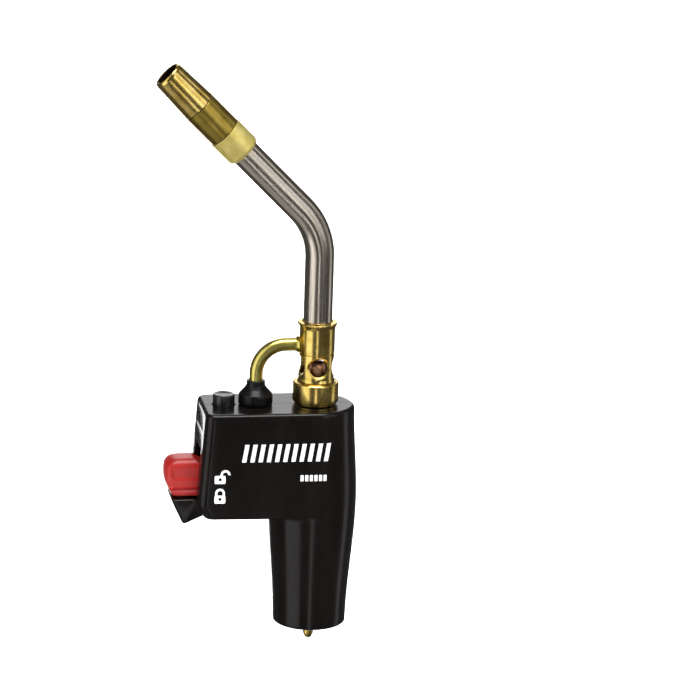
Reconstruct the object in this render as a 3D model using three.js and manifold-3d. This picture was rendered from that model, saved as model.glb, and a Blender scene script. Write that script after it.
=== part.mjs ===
// A trigger-start gas torch that screws onto a one-inch threaded cylinder. Millimetres, +Z up.
// The origin is the centre of the socket mouth at the foot of the grip. The burner and trigger face -X.
import * as THREE from 'three';
import { mergeVertices } from 'three/addons/utils/BufferGeometryUtils.js';
import { ParametricGeometry } from 'three/addons/geometries/ParametricGeometry.js';
import Module from 'manifold-3d';

const wasm = await Module();
wasm.setup();

// ---- clearances ----
const GAP = 0.3; // between pieces that touch
const SLIDE = 0.5; // round pieces that slide in the housing
const SPRING_GAP = 0.45; // at each end of a coil spring

// ---- cylinder socket, at the foot of the grip ----
const CYLINDER_NECK_R = 12.7; // one-inch neck, 20 threads to the inch
const THREAD_CLEARANCE = 0.05;
const SOCKET_WALL = 2.25;
const SOCKET_R = CYLINDER_NECK_R + THREAD_CLEARANCE + SOCKET_WALL;
const SOCKET_FIT = 0.4; // between the socket ring and the shells
const SOCKET_RECESS = 0.8; // the ring sits this far inside the grip's foot
const SOCKET_DEPTH = 15.2;
const SOCKET_FLANGE = 2;
const NIPPLE_R = 2.5;
const NIPPLE_BORE_R = 0.8;
const NIPPLE_REACH = 9.3; // below the socket mouth
const NIPPLE_SHOULDER_R = 8.6;
const NIPPLE_SHOULDER = 3.9; // thickness
const SPIGOT_R = 4;
const SEAL_THICK = 2;

// ---- housing: a round grip under a long, flat-sided head ----
const WALL = 2.2;
const FOOT_R = SOCKET_R + SOCKET_FIT + WALL; // grip radius at the socket mouth
const SWELL_R = 21.1; // widest radius, just above the head's floor
const CROWN_R = 18.9; // radius of the head's back at its top
const GRIP_LENGTH = 57.5; // foot to the underside of the head
const HEAD_HEIGHT = 51.5;
const HEAD_HALF_WIDTH = 19;
const HEAD_FRONT_LOW = 57.6; // reach of the front face, forward of the grip axis, at the jaw
const FRONT_LEAN = 3.2; // how much less it reaches at the top
const HEAD_FRONT_TOP = HEAD_FRONT_LOW - FRONT_LEAN;
const HEAD_CORNER_R = 4.5; // upright corners of the front face
const UNDERCUT = 0.3; // how fast the front face cuts back under the jaw
const EDGE_R = 2; // rounding of the head's lower and upper edges
const SWELL_ABOVE_FLOOR = 4.5;
const HEAD_FLOOR = GRIP_LENGTH;
const HEAD_TOP = HEAD_FLOOR + HEAD_HEIGHT;
const SWELL_Z = HEAD_FLOOR + SWELL_ABOVE_FLOOR;

// ---- trigger, drawn at rest in its lower, locked place ----
const TRIGGER_HALF_WIDTH = 8.5;
const TRIGGER_HEIGHT = 18.3;
const TRIGGER_REACH = 14.7; // how far it stands out of the front face
const TRIGGER_BEVEL = 1.4;
const TRIGGER_BULGE = 2.6; // how far the front of the trigger curves
const LOCK_TRAVEL = 5;
const PRESS_TRAVEL = 7;
const TRIGGER_FOOT = HEAD_FLOOR + 8.2;
const TRIGGER_TOP = TRIGGER_FOOT + TRIGGER_HEIGHT;
const TRIGGER_FRONT = -HEAD_FRONT_LOW - TRIGGER_REACH;
const WINDOW_MARGIN = 0.6; // above and below the trigger's travel

// ---- jaw: the tongue of the housing under the trigger ----
const JAW_HALF_WIDTH = TRIGGER_HALF_WIDTH + 1;
const JAW_TOP = TRIGGER_FOOT - 1.3;
const JAW_REACH = 11.8;
const JAW_DROP = 3; // how far it hangs under the head's floor
const JAW_WALL = 2;

// ---- carriage behind the trigger, with a slot that the trigger's tail slides in ----
const CARRIAGE_HALF_WIDTH = TRIGGER_HALF_WIDTH + 2.5;
const CARRIAGE_DEPTH = 10.2;
const CARRIAGE_FRONT = 7.4 - HEAD_FRONT_LOW;
const CARRIAGE_BACK = CARRIAGE_FRONT + CARRIAGE_DEPTH;
const CARRIAGE_FOOT = TRIGGER_FOOT - 1.2;
const CARRIAGE_TOP = TRIGGER_TOP + LOCK_TRAVEL + 2;
const TAIL_NECK_HALF = 3.1;
const TAIL_HEAD_HALF = 6.1;
const TAIL_HEAD_DEPTH = 2.9;
const TAIL_INSET = 1; // tail's foot above the trigger's
const TAIL_DROP = 3; // tail's top below the trigger's
const SLOT_CLEARANCE = 0.4;
const SLOT_LIP = 2.2;
const CATCH_HEIGHT = 3.1; // tooth for the run lock
const CATCH_THICK = 2.4;
const CATCH_HALF_WIDTH = 3;
const CATCH_TOP = CARRIAGE_TOP + CATCH_HEIGHT;

// ---- run-lock button, above the carriage's catch ----
const BUTTON_X = CARRIAGE_FRONT + 6.2;
const BUTTON_R = 5.2;
const BUTTON_RIM = 1.2; // chamfer round its top
const BUTTON_STANDS = 5.5;
const BUTTON_TRAVEL = 3;
const BUTTON_STEM_R = 2;
const BUTTON_FLANGE_R = BUTTON_R + 1.2;
const BUTTON_FLANGE_THICK = 1.6;
const SHELF_LOW = CATCH_TOP + 2.1; // shelf under the button's spring
const SHELF_THICK = 1.8;
const SHELF_TOP = SHELF_LOW + SHELF_THICK;

// ---- igniter: piezo unit, boot, brass tube and the lead inside it ----
const BOOT_X = -28.8;
const BOOT_R = 8.2;
const BOOT_HEIGHT = 11.6;
const BOOT_SKIRT = 4.2; // straight part of the bell
const BOOT_SHOULDER = 3.6; // curved part of the bell
const BOOT_WALL = 0.875;
const IGNITION_TUBE_R = 3.175;
const IGNITION_TUBE_WALL = 0.8;
const IGNITION_BEND_R = 14;
const BOOT_NECK_R = IGNITION_TUBE_R + GAP + BOOT_WALL;
const LEAD_R = 1;
const PIEZO_R = 4.9;
const PIEZO_BORE_R = 3.8;
const PIEZO_Y = -6.5;
const PIEZO_Z = TRIGGER_FOOT + 13.8;
const PIEZO_FRONT = CARRIAGE_BACK + PRESS_TRAVEL + 1.5;
const PIEZO_BACK = -12;
const PIEZO_HOLDER_X = -24;
const PIEZO_HOLDER_THICK = 3;
const PLUNGER_LENGTH = 15.7;

// ---- mixer, burner tube and tip ----
const BURNER_TUBE_R = 6.9;
const BURNER_TUBE_WALL = 0.9;
const MIXER_WALL = 1.3;
const MIXER_R = BURNER_TUBE_R + GAP + MIXER_WALL;
const MIXER_HEIGHT = 37.4;
const MIXER_FLOOR = 3; // thickness
const COLLAR_WALL = 2.15;
const COLLAR_R = MIXER_R + GAP + COLLAR_WALL;
const COLLAR_HEIGHT = 10.6;
const COLLAR_FLOOR = 1.6;
const COLLAR_CHAMFER = 0.7;
const AIR_HOLE_R = 4.5;
const AIR_HOLE_HEIGHT = 18.6; // above the collar's seat
const IGNITION_ENTRY_HEIGHT = 28.7;
const JET_R = 3.2;
const JET_NOSE_R = 2.2;
const JET_BORE_R = 0.6;
const BURNER_RISE = 84.8; // collar seat to where the two straight runs would cross
const BURNER_BEND_R = 33;
const BURNER_ANGLE = Math.PI / 4;
const TIP_START = 52.4; // along the slanted run, from that crossing
const RING_WALL = 1.3;
const BASE_RING_R = BURNER_TUBE_R + GAP + RING_WALL;
const BASE_RING_LENGTH = 13.3;
const SLEEVE_R = BASE_RING_R - 0.25;
const SLEEVE_WALL = 2;
const SLEEVE_LENGTH = 16.9;
const BARREL_LENGTH = 21.8;
const MOUTH_R = 7.2;
const MOUTH_BORE_R = 5.6;
const SWIRLER_VANES = 6;
const SWIRLER_LENGTH = 4.5;
const SWIRLER_SLOT_R = 1.1;
const INSULATOR_R = 2.1;
const INSULATOR_LENGTH = 13.5;
const ELECTRODE_R = 0.6;
const ELECTRODE_LENGTH = 26;

// ---- pressure regulator, in the grip ----
const REGULATOR_R = 14.8;
const REGULATOR_BODY_HEIGHT = 19.6;
const REGULATOR_CAP_HEIGHT = 10.6;
const REGULATOR_WALL = 2.2;
const CHAMBER_WALL = 3.4;
const CHAMBER_FLOOR = 3.8;
const DIAPHRAGM_THICK = 0.8;
const PIPE_R = 3;
const PIPE_BORE_R = 1.7;

// ---- valve, worked by a lever that hangs from its pin ----
const VALVE_BLOCK_BOTTOM = HEAD_FLOOR + 14.5;
const VALVE_BLOCK_HEIGHT = 14;
const VALVE_TOP = VALVE_BLOCK_BOTTOM + VALVE_BLOCK_HEIGHT;
const VALVE_FRONT = -3;
const PIPE_SEAT = 3; // depth of a pipe's seat in the block
const CROSS_PORT_R = 1.1;
const LEVER_X = -14;
const LEVER_Y = 7;
const LEVER_HALF_WIDTH = 2;
const LEVER_HALF_THICK = 1.5;
const LEVER_EYE_R = 3.4;
const LEVER_PIN_R = 1.5;
const LEVER_BOSS_R = 3.2;
const LEVER_ARM = 18; // pin to the carriage's finger
const STEM_ARM = 8; // pin to the valve stem
const LEVER_PIN_Z = VALVE_BLOCK_BOTTOM + 16;
const STEM_Z = LEVER_PIN_Z - STEM_ARM;
const FINGER_Z = LEVER_PIN_Z - LEVER_ARM;
const STEM_R = 1.5;

// ---- screws: two behind the front face, above and below the carriage, and two over the grip ----
const FRONT_SCREW_INSET = 4;
const UPPER_FRONT_SCREW_Z = CARRIAGE_TOP + 3.5;
const LOWER_FRONT_SCREW_Z = HEAD_FLOOR + 3.7;
const GRIP_SCREW_PLACES = [[8, 40.5], [-21, 5.5]]; // along X, and above the head's floor
const SCREW_R = 1.4;
const SCREW_HEAD_R = 2.75;
const SCREW_HEAD_THICK = 1.8;
const SCREW_HEAD_SUNK = 0.8;
const SCREW_REACH = 9; // past the joint of the two shells
const SCREW_BOSS_R = 2.8;
const SCREW_CUP_WALL = 1.2;
const SCREW_CUP_FLOOR = 2.2;

const turn = 2 * Math.PI;
const smoothstep = (low, high, value) => {
  const t = Math.min(1, Math.max(0, (value - low) / (high - low)));
  return t * t * (3 - 2 * t);
};

// ---- solids ----

// Drops collapsed triangles, and turns the faces out if they point in.
function closedMesh(geometry) {
  const bare = new THREE.BufferGeometry();
  bare.setAttribute('position', geometry.getAttribute('position').clone());
  if (geometry.index) bare.setIndex(geometry.index.clone());
  const merged = mergeVertices(bare, 1e-4);
  const index = merged.index.array;
  const place = merged.getAttribute('position');
  const corners = [];
  let volume = 0;
  const [a, b, c] = [new THREE.Vector3(), new THREE.Vector3(), new THREE.Vector3()];
  for (let i = 0; i < index.length; i += 3) {
    const [p, q, r] = [index[i], index[i + 1], index[i + 2]];
    if (p === q || q === r || r === p) continue;
    corners.push([p, q, r]);
    a.fromBufferAttribute(place, p);
    b.fromBufferAttribute(place, q);
    c.fromBufferAttribute(place, r);
    volume += a.dot(b.cross(c));
  }
  const facingOut = corners.map(([p, q, r]) => (volume > 0 ? [p, q, r] : [p, r, q]));
  return {
    numProp: 3,
    vertProperties: new Float32Array(place.array),
    triVerts: new Uint32Array(facingOut.flat()),
  };
}

const solid = (geometry) => new wasm.Manifold(new wasm.Mesh(closedMesh(geometry)));

function toGeometry(shape) {
  const mesh = shape.getMesh();
  const geometry = new THREE.BufferGeometry();
  geometry.setAttribute('position', new THREE.BufferAttribute(mesh.vertProperties, 3));
  geometry.setIndex(new THREE.BufferAttribute(mesh.triVerts, 1));
  return geometry;
}

const join = (first, ...rest) => rest.reduce((whole, piece) => whole.add(piece), first);
const cut = (first, ...rest) => rest.reduce((whole, piece) => whole.subtract(piece), first);

function block([x0, y0, z0], [x1, y1, z1]) {
  const box = new THREE.BoxGeometry(x1 - x0, y1 - y0, z1 - z0);
  return solid(box.translate((x0 + x1) / 2, (y0 + y1) / 2, (z0 + z1) / 2));
}

// A round bar between two places along one axis; at gives the other two coordinates, in X, Y, Z order.
function bar(axis, at, from, to, radius, sides = 16) {
  const round = new THREE.CylinderGeometry(radius, radius, to - from, sides);
  const middle = (from + to) / 2;
  if (axis === 'x') return solid(round.rotateZ(-Math.PI / 2).translate(middle, at[0], at[1]));
  if (axis === 'y') return solid(round.translate(at[0], middle, at[1]));
  return solid(round.rotateX(Math.PI / 2).translate(at[0], at[1], middle));
}

// A turned piece about Z from [radius, height] points. A piece with a bore is a closed profile.
function turned(profile, sides = 24) {
  const points = profile.map(([radius, height]) => new THREE.Vector2(radius, height));
  const onAxis = profile[0][0] === 0 && profile.at(-1)[0] === 0;
  if (!onAxis) points.push(points[0].clone());
  return solid(new THREE.LatheGeometry(points, sides).rotateX(Math.PI / 2));
}

const ring = (inner, outer, low, high, sides = 24) =>
  turned([[inner, low], [outer, low], [outer, high], [inner, high]], sides);

// A flat outline in X and Z, given a thickness across Y, with bevelled edges if bevel is set.
function sidePlate(outline, halfWidth, middleY = 0, bevel = 0) {
  const shape = new THREE.Shape(outline.map(([x, z]) => new THREE.Vector2(x, z)));
  const settings = {
    depth: 2 * (halfWidth - bevel),
    bevelEnabled: bevel > 0,
    bevelSize: bevel,
    bevelThickness: bevel,
    bevelOffset: -bevel,
    bevelSegments: 2,
    curveSegments: 6,
  };
  const plate = new THREE.ExtrudeGeometry(shape, settings).translate(0, 0, -(halfWidth - bevel));
  return solid(plate.rotateX(Math.PI / 2).translate(0, middleY, 0));
}

// A flat outline in X and Y, raised from one height to another.
function column(outline, low, high) {
  const shape = new THREE.Shape(outline.map(([x, y]) => new THREE.Vector2(x, y)));
  const raised = new THREE.ExtrudeGeometry(shape, { depth: high - low, bevelEnabled: false });
  return solid(raised.translate(0, 0, low));
}

// A closed skin through rings of points, with its two ends closed by flat fans.
function loft(rings) {
  const middle = (points) => {
    const sum = points.reduce((total, point) => total.add(point), new THREE.Vector3());
    return sum.divideScalar(points.length);
  };
  const first = rings[0].map(() => middle(rings[0]));
  const last = rings[0].map(() => middle(rings.at(-1)));
  const rows = [first, ...rings, last];
  const around = rings[0].length;
  const skin = (u, v, target) => {
    const row = rows[Math.round(Math.min(1, Math.max(0, v)) * (rows.length - 1))];
    target.copy(row[Math.round(Math.min(1, Math.max(0, u)) * around) % around]);
  };
  return solid(new ParametricGeometry(skin, around, rows.length - 1));
}

// Straight runs through the corners given, joined by true arcs of the radii given.
class BentRoute extends THREE.Curve {
  constructor(corners, radii) {
    super();
    this.runs = [];
    let start = corners[0];
    for (let i = 1; i < corners.length; i += 1) {
      const corner = corners[i];
      if (i === corners.length - 1) {
        this.addLine(start, corner);
        break;
      }
      const into = corner.clone().sub(corners[i - 1]).normalize();
      const out = corners[i + 1].clone().sub(corner).normalize();
      const angle = into.angleTo(out);
      const radius = radii[i - 1];
      const reach = radius * Math.tan(angle / 2);
      const arcStart = corner.clone().addScaledVector(into, -reach);
      this.addLine(start, arcStart);
      const side = out.clone().addScaledVector(into, -out.dot(into)).normalize();
      this.runs.push({ length: radius * angle, arcStart, into, side, radius });
      start = corner.clone().addScaledVector(out, reach);
    }
    this.total = this.runs.reduce((sum, run) => sum + run.length, 0);
  }

  addLine(from, to) {
    this.runs.push({ length: from.distanceTo(to), from, to });
  }

  getPoint(t, target = new THREE.Vector3()) {
    let along = t * this.total;
    let run = this.runs[0];
    for (run of this.runs) {
      if (along <= run.length) break;
      if (run !== this.runs.at(-1)) along -= run.length;
    }
    if (run.from) return target.lerpVectors(run.from, run.to, along / run.length);
    const angle = along / run.radius;
    target.copy(run.arcStart).addScaledVector(run.into, run.radius * Math.sin(angle));
    return target.addScaledVector(run.side, run.radius * (1 - Math.cos(angle)));
  }
}

class Helix extends THREE.Curve {
  constructor(radius, length, turns) {
    super();
    Object.assign(this, { radius, length, turns });
  }

  getPoint(t, target = new THREE.Vector3()) {
    const angle = turn * this.turns * t;
    return target.set(this.radius * Math.cos(angle), this.radius * Math.sin(angle), this.length * t);
  }
}

function disc(radius, sides, bore = 0) {
  const circle = (size) => Array.from({ length: sides }, (_, i) =>
    new THREE.Vector2(size * Math.cos((turn * i) / sides), size * Math.sin((turn * i) / sides)));
  const shape = new THREE.Shape(circle(radius));
  if (bore) shape.holes.push(new THREE.Path(circle(bore)));
  return shape;
}

function tube(route, radius, sides, steps, bore = 0) {
  return solid(new THREE.ExtrudeGeometry(disc(radius, sides, bore), { steps, extrudePath: route }));
}

// A coil spring from z = 0 upwards, its wire kept inside the length given.
function coil(outerRadius, wireRadius, length, turns) {
  const route = new Helix(outerRadius - wireRadius, length - 2 * wireRadius, turns);
  const settings = { steps: Math.round(turns * 8), extrudePath: route };
  const wire = new THREE.ExtrudeGeometry(disc(wireRadius, 5), settings);
  return wire.translate(0, 0, wireRadius);
}

// ---- materials ----
const finish = (color, roughness, metalness = 0) =>
  new THREE.MeshStandardMaterial({ color, roughness, metalness });
const blackPlastic = finish('#17140f', 0.35);
const redPlastic = finish('#be302c', 0.3);
const greyPlastic = finish('#2a2b2b', 0.3);
const blackRubber = finish('#121213', 0.5);
const brass = finish('#be9b3c', 0.3, 1);
const paleBrass = finish('#c3b25a', 0.5, 1);
const stainless = finish('#827a6e', 0.35, 1);
const springSteel = finish('#8f9194', 0.35, 1);
const zincSteel = finish('#9a9c9e', 0.4, 1);
const castZinc = finish('#85878a', 0.55, 1);
const ivoryNylon = finish('#d8d2c0', 0.5);
const silicone = finish('#d0d0cc', 0.5);
const ceramic = finish('#e9e5da', 0.4);

const torch = new THREE.Group();

function add(name, shape, material, group = torch) {
  const mesh = new THREE.Mesh(shape.isBufferGeometry ? shape : toGeometry(shape), material);
  mesh.name = name;
  group.add(mesh);
  return mesh;
}

// ---- housing form ----

function bodyRadius(z) {
  if (z <= SWELL_Z) return FOOT_R + (SWELL_R - FOOT_R) * smoothstep(0, SWELL_Z, z);
  return SWELL_R + (CROWN_R - SWELL_R) * smoothstep(SWELL_Z, HEAD_TOP, z);
}

// X of the front face: it leans out towards the jaw, then cuts back under it.
function frontFace(z) {
  const top = (z - JAW_TOP) / (HEAD_TOP - JAW_TOP);
  if (top >= 0) return -(HEAD_FRONT_LOW + (HEAD_FRONT_TOP - HEAD_FRONT_LOW) * top);
  return -HEAD_FRONT_LOW + UNDERCUT * (JAW_TOP - z);
}

// Y of the outside of the head's side at a place.
function sideOf(x, z) {
  const radius = bodyRadius(z);
  if (x >= 0) return Math.sqrt(radius * radius - x * x);
  const corner = frontFace(z) + HEAD_CORNER_R;
  return radius + (HEAD_HALF_WIDTH - radius) * Math.min(1, x / corner);
}

const BACK_STEPS = 12;
const CORNER_STEPS = 3;

function arc(x, y, radius, from, to, steps) {
  return Array.from({ length: steps + 1 }, (_, i) => {
    const angle = from + ((to - from) * i) / steps;
    return [x + radius * Math.cos(angle), y + radius * Math.sin(angle)];
  });
}

// The head in plan at a height, drawn in by inset: half round behind, flat sides and a round-cornered front.
function headRing(z, inset) {
  const radius = bodyRadius(z) - inset;
  const halfWidth = HEAD_HALF_WIDTH - inset;
  const corner = Math.max(1, HEAD_CORNER_R - inset);
  const cornerX = frontFace(z) + inset + corner;
  const quarter = Math.PI / 2;
  const outline = [
    ...arc(0, 0, radius, -quarter, quarter, BACK_STEPS),
    ...arc(cornerX, halfWidth - corner, corner, quarter, 2 * quarter, CORNER_STEPS),
    ...arc(cornerX, corner - halfWidth, corner, 2 * quarter, 3 * quarter, CORNER_STEPS),
  ];
  return outline.map(([x, y]) => new THREE.Vector3(x, y, z));
}

const HEAD_LEVELS = 5;

function headSolid(inset) {
  const low = HEAD_FLOOR + inset;
  const high = HEAD_TOP - inset;
  const edge = Math.max(0.4, EDGE_R - inset);
  const rings = [headRing(low, inset + edge)];
  for (let i = 0; i <= HEAD_LEVELS; i += 1) {
    rings.push(headRing(low + edge + ((high - low - 1.6 * edge) * i) / HEAD_LEVELS, inset));
  }
  rings.push(headRing(high, inset + 0.6 * edge));
  return loft(rings);
}

function gripProfile(inset, low, high, shoulderTop, shoulderInset) {
  const steps = 6;
  const side = Array.from({ length: steps + 1 }, (_, i) => {
    const z = low + ((high - low) * i) / steps;
    return [bodyRadius(z) - inset, z];
  });
  const shoulder = bodyRadius(high) - shoulderInset;
  return [[0, low], ...side, [shoulder, high], [shoulder, shoulderTop], [0, shoulderTop]];
}

const jawOutline = (inset) => {
  const back = -HEAD_FRONT_LOW + 7;
  const nose = -HEAD_FRONT_LOW - JAW_REACH + 1.2 * inset;
  const heel = -HEAD_FRONT_LOW - 6 + 0.5 * inset;
  return [
    [back, HEAD_FLOOR + inset],
    [back, JAW_TOP - inset],
    [nose + 0.7, JAW_TOP - inset],
    [nose, JAW_TOP - 1 - inset],
    [heel, HEAD_FLOOR - JAW_DROP + 0.6 + inset],
    [heel + 1.6, HEAD_FLOOR - JAW_DROP + inset],
  ];
};

const trigSpring = {
  y: -5,
  z: TRIGGER_FOOT + 2.3,
  radius: 3.4,
  front: CARRIAGE_BACK + SPRING_GAP,
  back: CARRIAGE_BACK + 11.6,
};
// Ribs run this far out, to the middle of the wall at their front end.
const wallMiddle = (x, z) => sideOf(x, z) - WALL / 2;

function screwSeat(x, z) {
  const headTop = sideOf(x, z) - SCREW_HEAD_SUNK;
  return { x, z, headTop, headSeat: headTop - SCREW_HEAD_THICK };
}

const frontScrew = (z) => screwSeat(frontFace(z) + FRONT_SCREW_INSET, z);
const [backScrew, floorScrew] = GRIP_SCREW_PLACES.map(([x, height]) => screwSeat(x, HEAD_FLOOR + height));
const screws = [frontScrew(UPPER_FRONT_SCREW_Z), backScrew, floorScrew, frontScrew(LOWER_FRONT_SCREW_Z)];

function hollowHousing() {
  const outer = join(
    headSolid(0),
    turned(gripProfile(0, 0, HEAD_FLOOR + EDGE_R, HEAD_FLOOR + EDGE_R + 3, WALL / 2)),
    sidePlate(jawOutline(0), JAW_HALF_WIDTH, 0, 1),
  );
  const inner = join(
    headSolid(WALL),
    turned(gripProfile(WALL, -1, HEAD_FLOOR, HEAD_FLOOR + WALL + 2, WALL + 0.2)),
    sidePlate(jawOutline(JAW_WALL), JAW_HALF_WIDTH - JAW_WALL),
  );
  const windowHalf = TRIGGER_HALF_WIDTH + SLIDE;
  const window = block(
    [-HEAD_FRONT_LOW - 4, -windowHalf, TRIGGER_FOOT - WINDOW_MARGIN],
    [CARRIAGE_FRONT - 1, windowHalf, TRIGGER_TOP + LOCK_TRAVEL + WINDOW_MARGIN],
  );
  const topLow = HEAD_TOP - WALL - 1;
  return cut(
    outer,
    inner,
    window,
    bar('z', [BUTTON_X, 0], topLow, HEAD_TOP + 1, BUTTON_R + SLIDE, 20),
    bar('z', [BOOT_X, 0], topLow, HEAD_TOP + 1, IGNITION_TUBE_R + SLIDE, 16),
    bar('z', [0, 0], topLow, HEAD_TOP + 1, PIPE_R + SLIDE, 16),
  );
}

// What both shells carry: screw bosses, rails for the carriage, and the shelf under the run-lock spring.
function shellRibs(side) {
  const span = (low, high) => (side < 0 ? [-high, -low] : [low, high]);
  const slab = (x0, x1, near, z0, z1) => {
    const [y0, y1] = span(near, wallMiddle(x0, z0));
    return block([x0, y0, z0], [x1, y1, z1]);
  };
  const bosses = screws.map((screw) => {
    const [y0, y1] = span(GAP / 2, wallMiddle(screw.x, screw.z));
    const boss = bar('y', [screw.x, screw.z], y0, y1, SCREW_BOSS_R, 10);
    if (side < 0) return boss;
    const cupR = SCREW_HEAD_R + GAP + SCREW_CUP_WALL;
    const cup = bar('y', [screw.x, screw.z], screw.headSeat - SCREW_CUP_FLOOR, y1, cupR, 12);
    return boss.add(cup);
  });
  const railNear = CARRIAGE_HALF_WIDTH - 3;
  const railBack = CARRIAGE_BACK + PRESS_TRAVEL + 2;
  const lowRailTop = CARRIAGE_FOOT - SLOT_CLEARANCE;
  const highRailFoot = CARRIAGE_TOP + SLOT_CLEARANCE;
  const railFront = CARRIAGE_FRONT + 0.7;
  return [
    ...bosses,
    slab(railFront, railBack, railNear, lowRailTop - 2.3, lowRailTop),
    slab(railFront + 2.5, railBack, railNear, highRailFoot, highRailFoot + 2),
    slab(BUTTON_X - 4.5, BUTTON_X + 6, GAP / 2, SHELF_LOW, SHELF_TOP),
  ];
}

function makeShell(housing, side) {
  const far = HEAD_TOP; // well past the housing on every side
  const near = side < 0 ? -far : GAP / 2;
  const half = block([-far, near, -far], [far, near + far - GAP / 2, 2 * far]);
  let shell = join(housing.intersect(half), ...shellRibs(side));
  const holeR = SCREW_R + GAP;
  for (const screw of screws) {
    if (side < 0) {
      shell = shell.subtract(bar('y', [screw.x, screw.z], -SCREW_REACH - 1, 1, holeR, 8));
    } else {
      shell = shell.subtract(bar('y', [screw.x, screw.z], -1, screw.headTop, holeR, 8));
      shell = shell.subtract(bar('y', [screw.x, screw.z], screw.headSeat - GAP, 30, SCREW_HEAD_R + GAP, 12));
    }
  }
  const stemHole = bar('z', [BUTTON_X, 0], SHELF_LOW - 1, SHELF_TOP + 1, BUTTON_STEM_R + SLIDE, 12);
  return shell.subtract(stemHole);
}

// The seat of the trigger's spring, and the plate that holds the piezo unit.
function leftShellExtras() {
  const seatX = trigSpring.back + SPRING_GAP;
  const springSeat = block(
    [seatX, -wallMiddle(seatX, trigSpring.z), HEAD_FLOOR + 1],
    [trigSpring.back + 2.3, -1, trigSpring.z + trigSpring.radius + 1.1],
  );
  const holderHalf = PIEZO_R + 1.3;
  const holder = block(
    [PIEZO_HOLDER_X, -wallMiddle(PIEZO_HOLDER_X, PIEZO_Z), PIEZO_Z - holderHalf],
    [PIEZO_HOLDER_X + PIEZO_HOLDER_THICK, -1, PIEZO_Z + holderHalf],
  );
  const bore = bar('x', [PIEZO_Y, PIEZO_Z], PIEZO_HOLDER_X - 1, PIEZO_HOLDER_X + 4, PIEZO_R + GAP, 16);
  return [springSeat, holder.subtract(bore)];
}

// The boss that holds the lever's pin.
function rightShellExtras() {
  const near = LEVER_Y + LEVER_HALF_WIDTH + 1;
  const boss = bar('y', [LEVER_X, LEVER_PIN_Z], near, wallMiddle(LEVER_X, LEVER_PIN_Z), LEVER_BOSS_R, 14);
  const hole = bar('y', [LEVER_X, LEVER_PIN_Z], near - 1, near + 6, LEVER_PIN_R + GAP, 12);
  return [boss.subtract(hole)];
}

const housing = hollowHousing();
add('left_shell', join(makeShell(housing, -1), ...leftShellExtras()), blackPlastic);
add('right_shell', join(makeShell(housing, 1), ...rightShellExtras()), blackPlastic);

screws.forEach((screw, i) => {
  const profile = [
    [0, screw.headTop],
    [SCREW_HEAD_R, screw.headTop - 0.4],
    [SCREW_HEAD_R, screw.headSeat],
    [SCREW_R, screw.headSeat],
    [SCREW_R, 1 - SCREW_REACH],
    [0, -SCREW_REACH],
  ];
  const mesh = add(`housing_screw_${i + 1}`, turned(profile, 12), zincSteel);
  mesh.rotation.x = -Math.PI / 2;
  mesh.position.set(screw.x, 0, screw.z);
});

// ---- cylinder socket ----
const socketTop = SOCKET_RECESS + SOCKET_DEPTH + SOCKET_FLANGE;
const socketBore = CYLINDER_NECK_R + THREAD_CLEARANCE;
add('socket_ring', turned([
  [socketBore, SOCKET_RECESS],
  [SOCKET_R, SOCKET_RECESS],
  [SOCKET_R, socketTop],
  [SPIGOT_R + GAP, socketTop],
  [SPIGOT_R + GAP, socketTop - SOCKET_FLANGE],
  [socketBore, socketTop - SOCKET_FLANGE],
]), brass);

const shoulderTop = socketTop - SOCKET_FLANGE - GAP;
const shoulderLow = shoulderTop - NIPPLE_SHOULDER;
const spigotTop = socketTop + CHAMBER_FLOOR + 0.2;
add('inlet_nipple', turned([
  [NIPPLE_BORE_R, -NIPPLE_REACH],
  [NIPPLE_BORE_R + 0.6, -NIPPLE_REACH],
  [NIPPLE_R, -NIPPLE_REACH + 2.2],
  [NIPPLE_R, shoulderLow],
  [NIPPLE_SHOULDER_R, shoulderLow],
  [NIPPLE_SHOULDER_R, shoulderTop],
  [SPIGOT_R, shoulderTop],
  [SPIGOT_R, spigotTop],
  [NIPPLE_BORE_R, spigotTop],
], 16), brass);
const sealTop = shoulderLow - GAP;
add('socket_seal', ring(NIPPLE_R + GAP, NIPPLE_SHOULDER_R, sealTop - SEAL_THICK, sealTop, 20), blackRubber);

// ---- pressure regulator ----
const bodyLow = socketTop + 0.4;
const bodyHigh = bodyLow + REGULATOR_BODY_HEIGHT;
const chamberR = REGULATOR_R - CHAMBER_WALL;
add('regulator_body', turned([
  [SPIGOT_R + GAP, bodyLow],
  [REGULATOR_R, bodyLow],
  [REGULATOR_R, bodyHigh],
  [chamberR, bodyHigh],
  [chamberR, bodyLow + CHAMBER_FLOOR],
  [SPIGOT_R + GAP, bodyLow + CHAMBER_FLOOR],
]), castZinc);

const diaphragmLow = bodyHigh + GAP;
const diaphragmTop = diaphragmLow + DIAPHRAGM_THICK;
const diaphragmR = REGULATOR_R - 0.4;
add('regulator_diaphragm', ring(PIPE_R + GAP, diaphragmR, diaphragmLow, diaphragmTop, 20), blackRubber);

const capLow = diaphragmTop + GAP;
const capHigh = capLow + REGULATOR_CAP_HEIGHT;
const capInnerTop = capHigh - REGULATOR_WALL;
const capInnerR = REGULATOR_R - REGULATOR_WALL;
add('regulator_cap', turned([
  [capInnerR, capLow],
  [REGULATOR_R, capLow],
  [REGULATOR_R, capHigh],
  [PIPE_R + GAP, capHigh],
  [PIPE_R + GAP, capInnerTop],
  [capInnerR, capInnerTop],
]), castZinc);
const regulatorCoil = coil(capInnerR / 2 + 1.1, 0.6, capInnerTop - capLow - SPRING_GAP, 4);
add('regulator_spring', regulatorCoil, springSteel).position.z = capLow;

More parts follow.
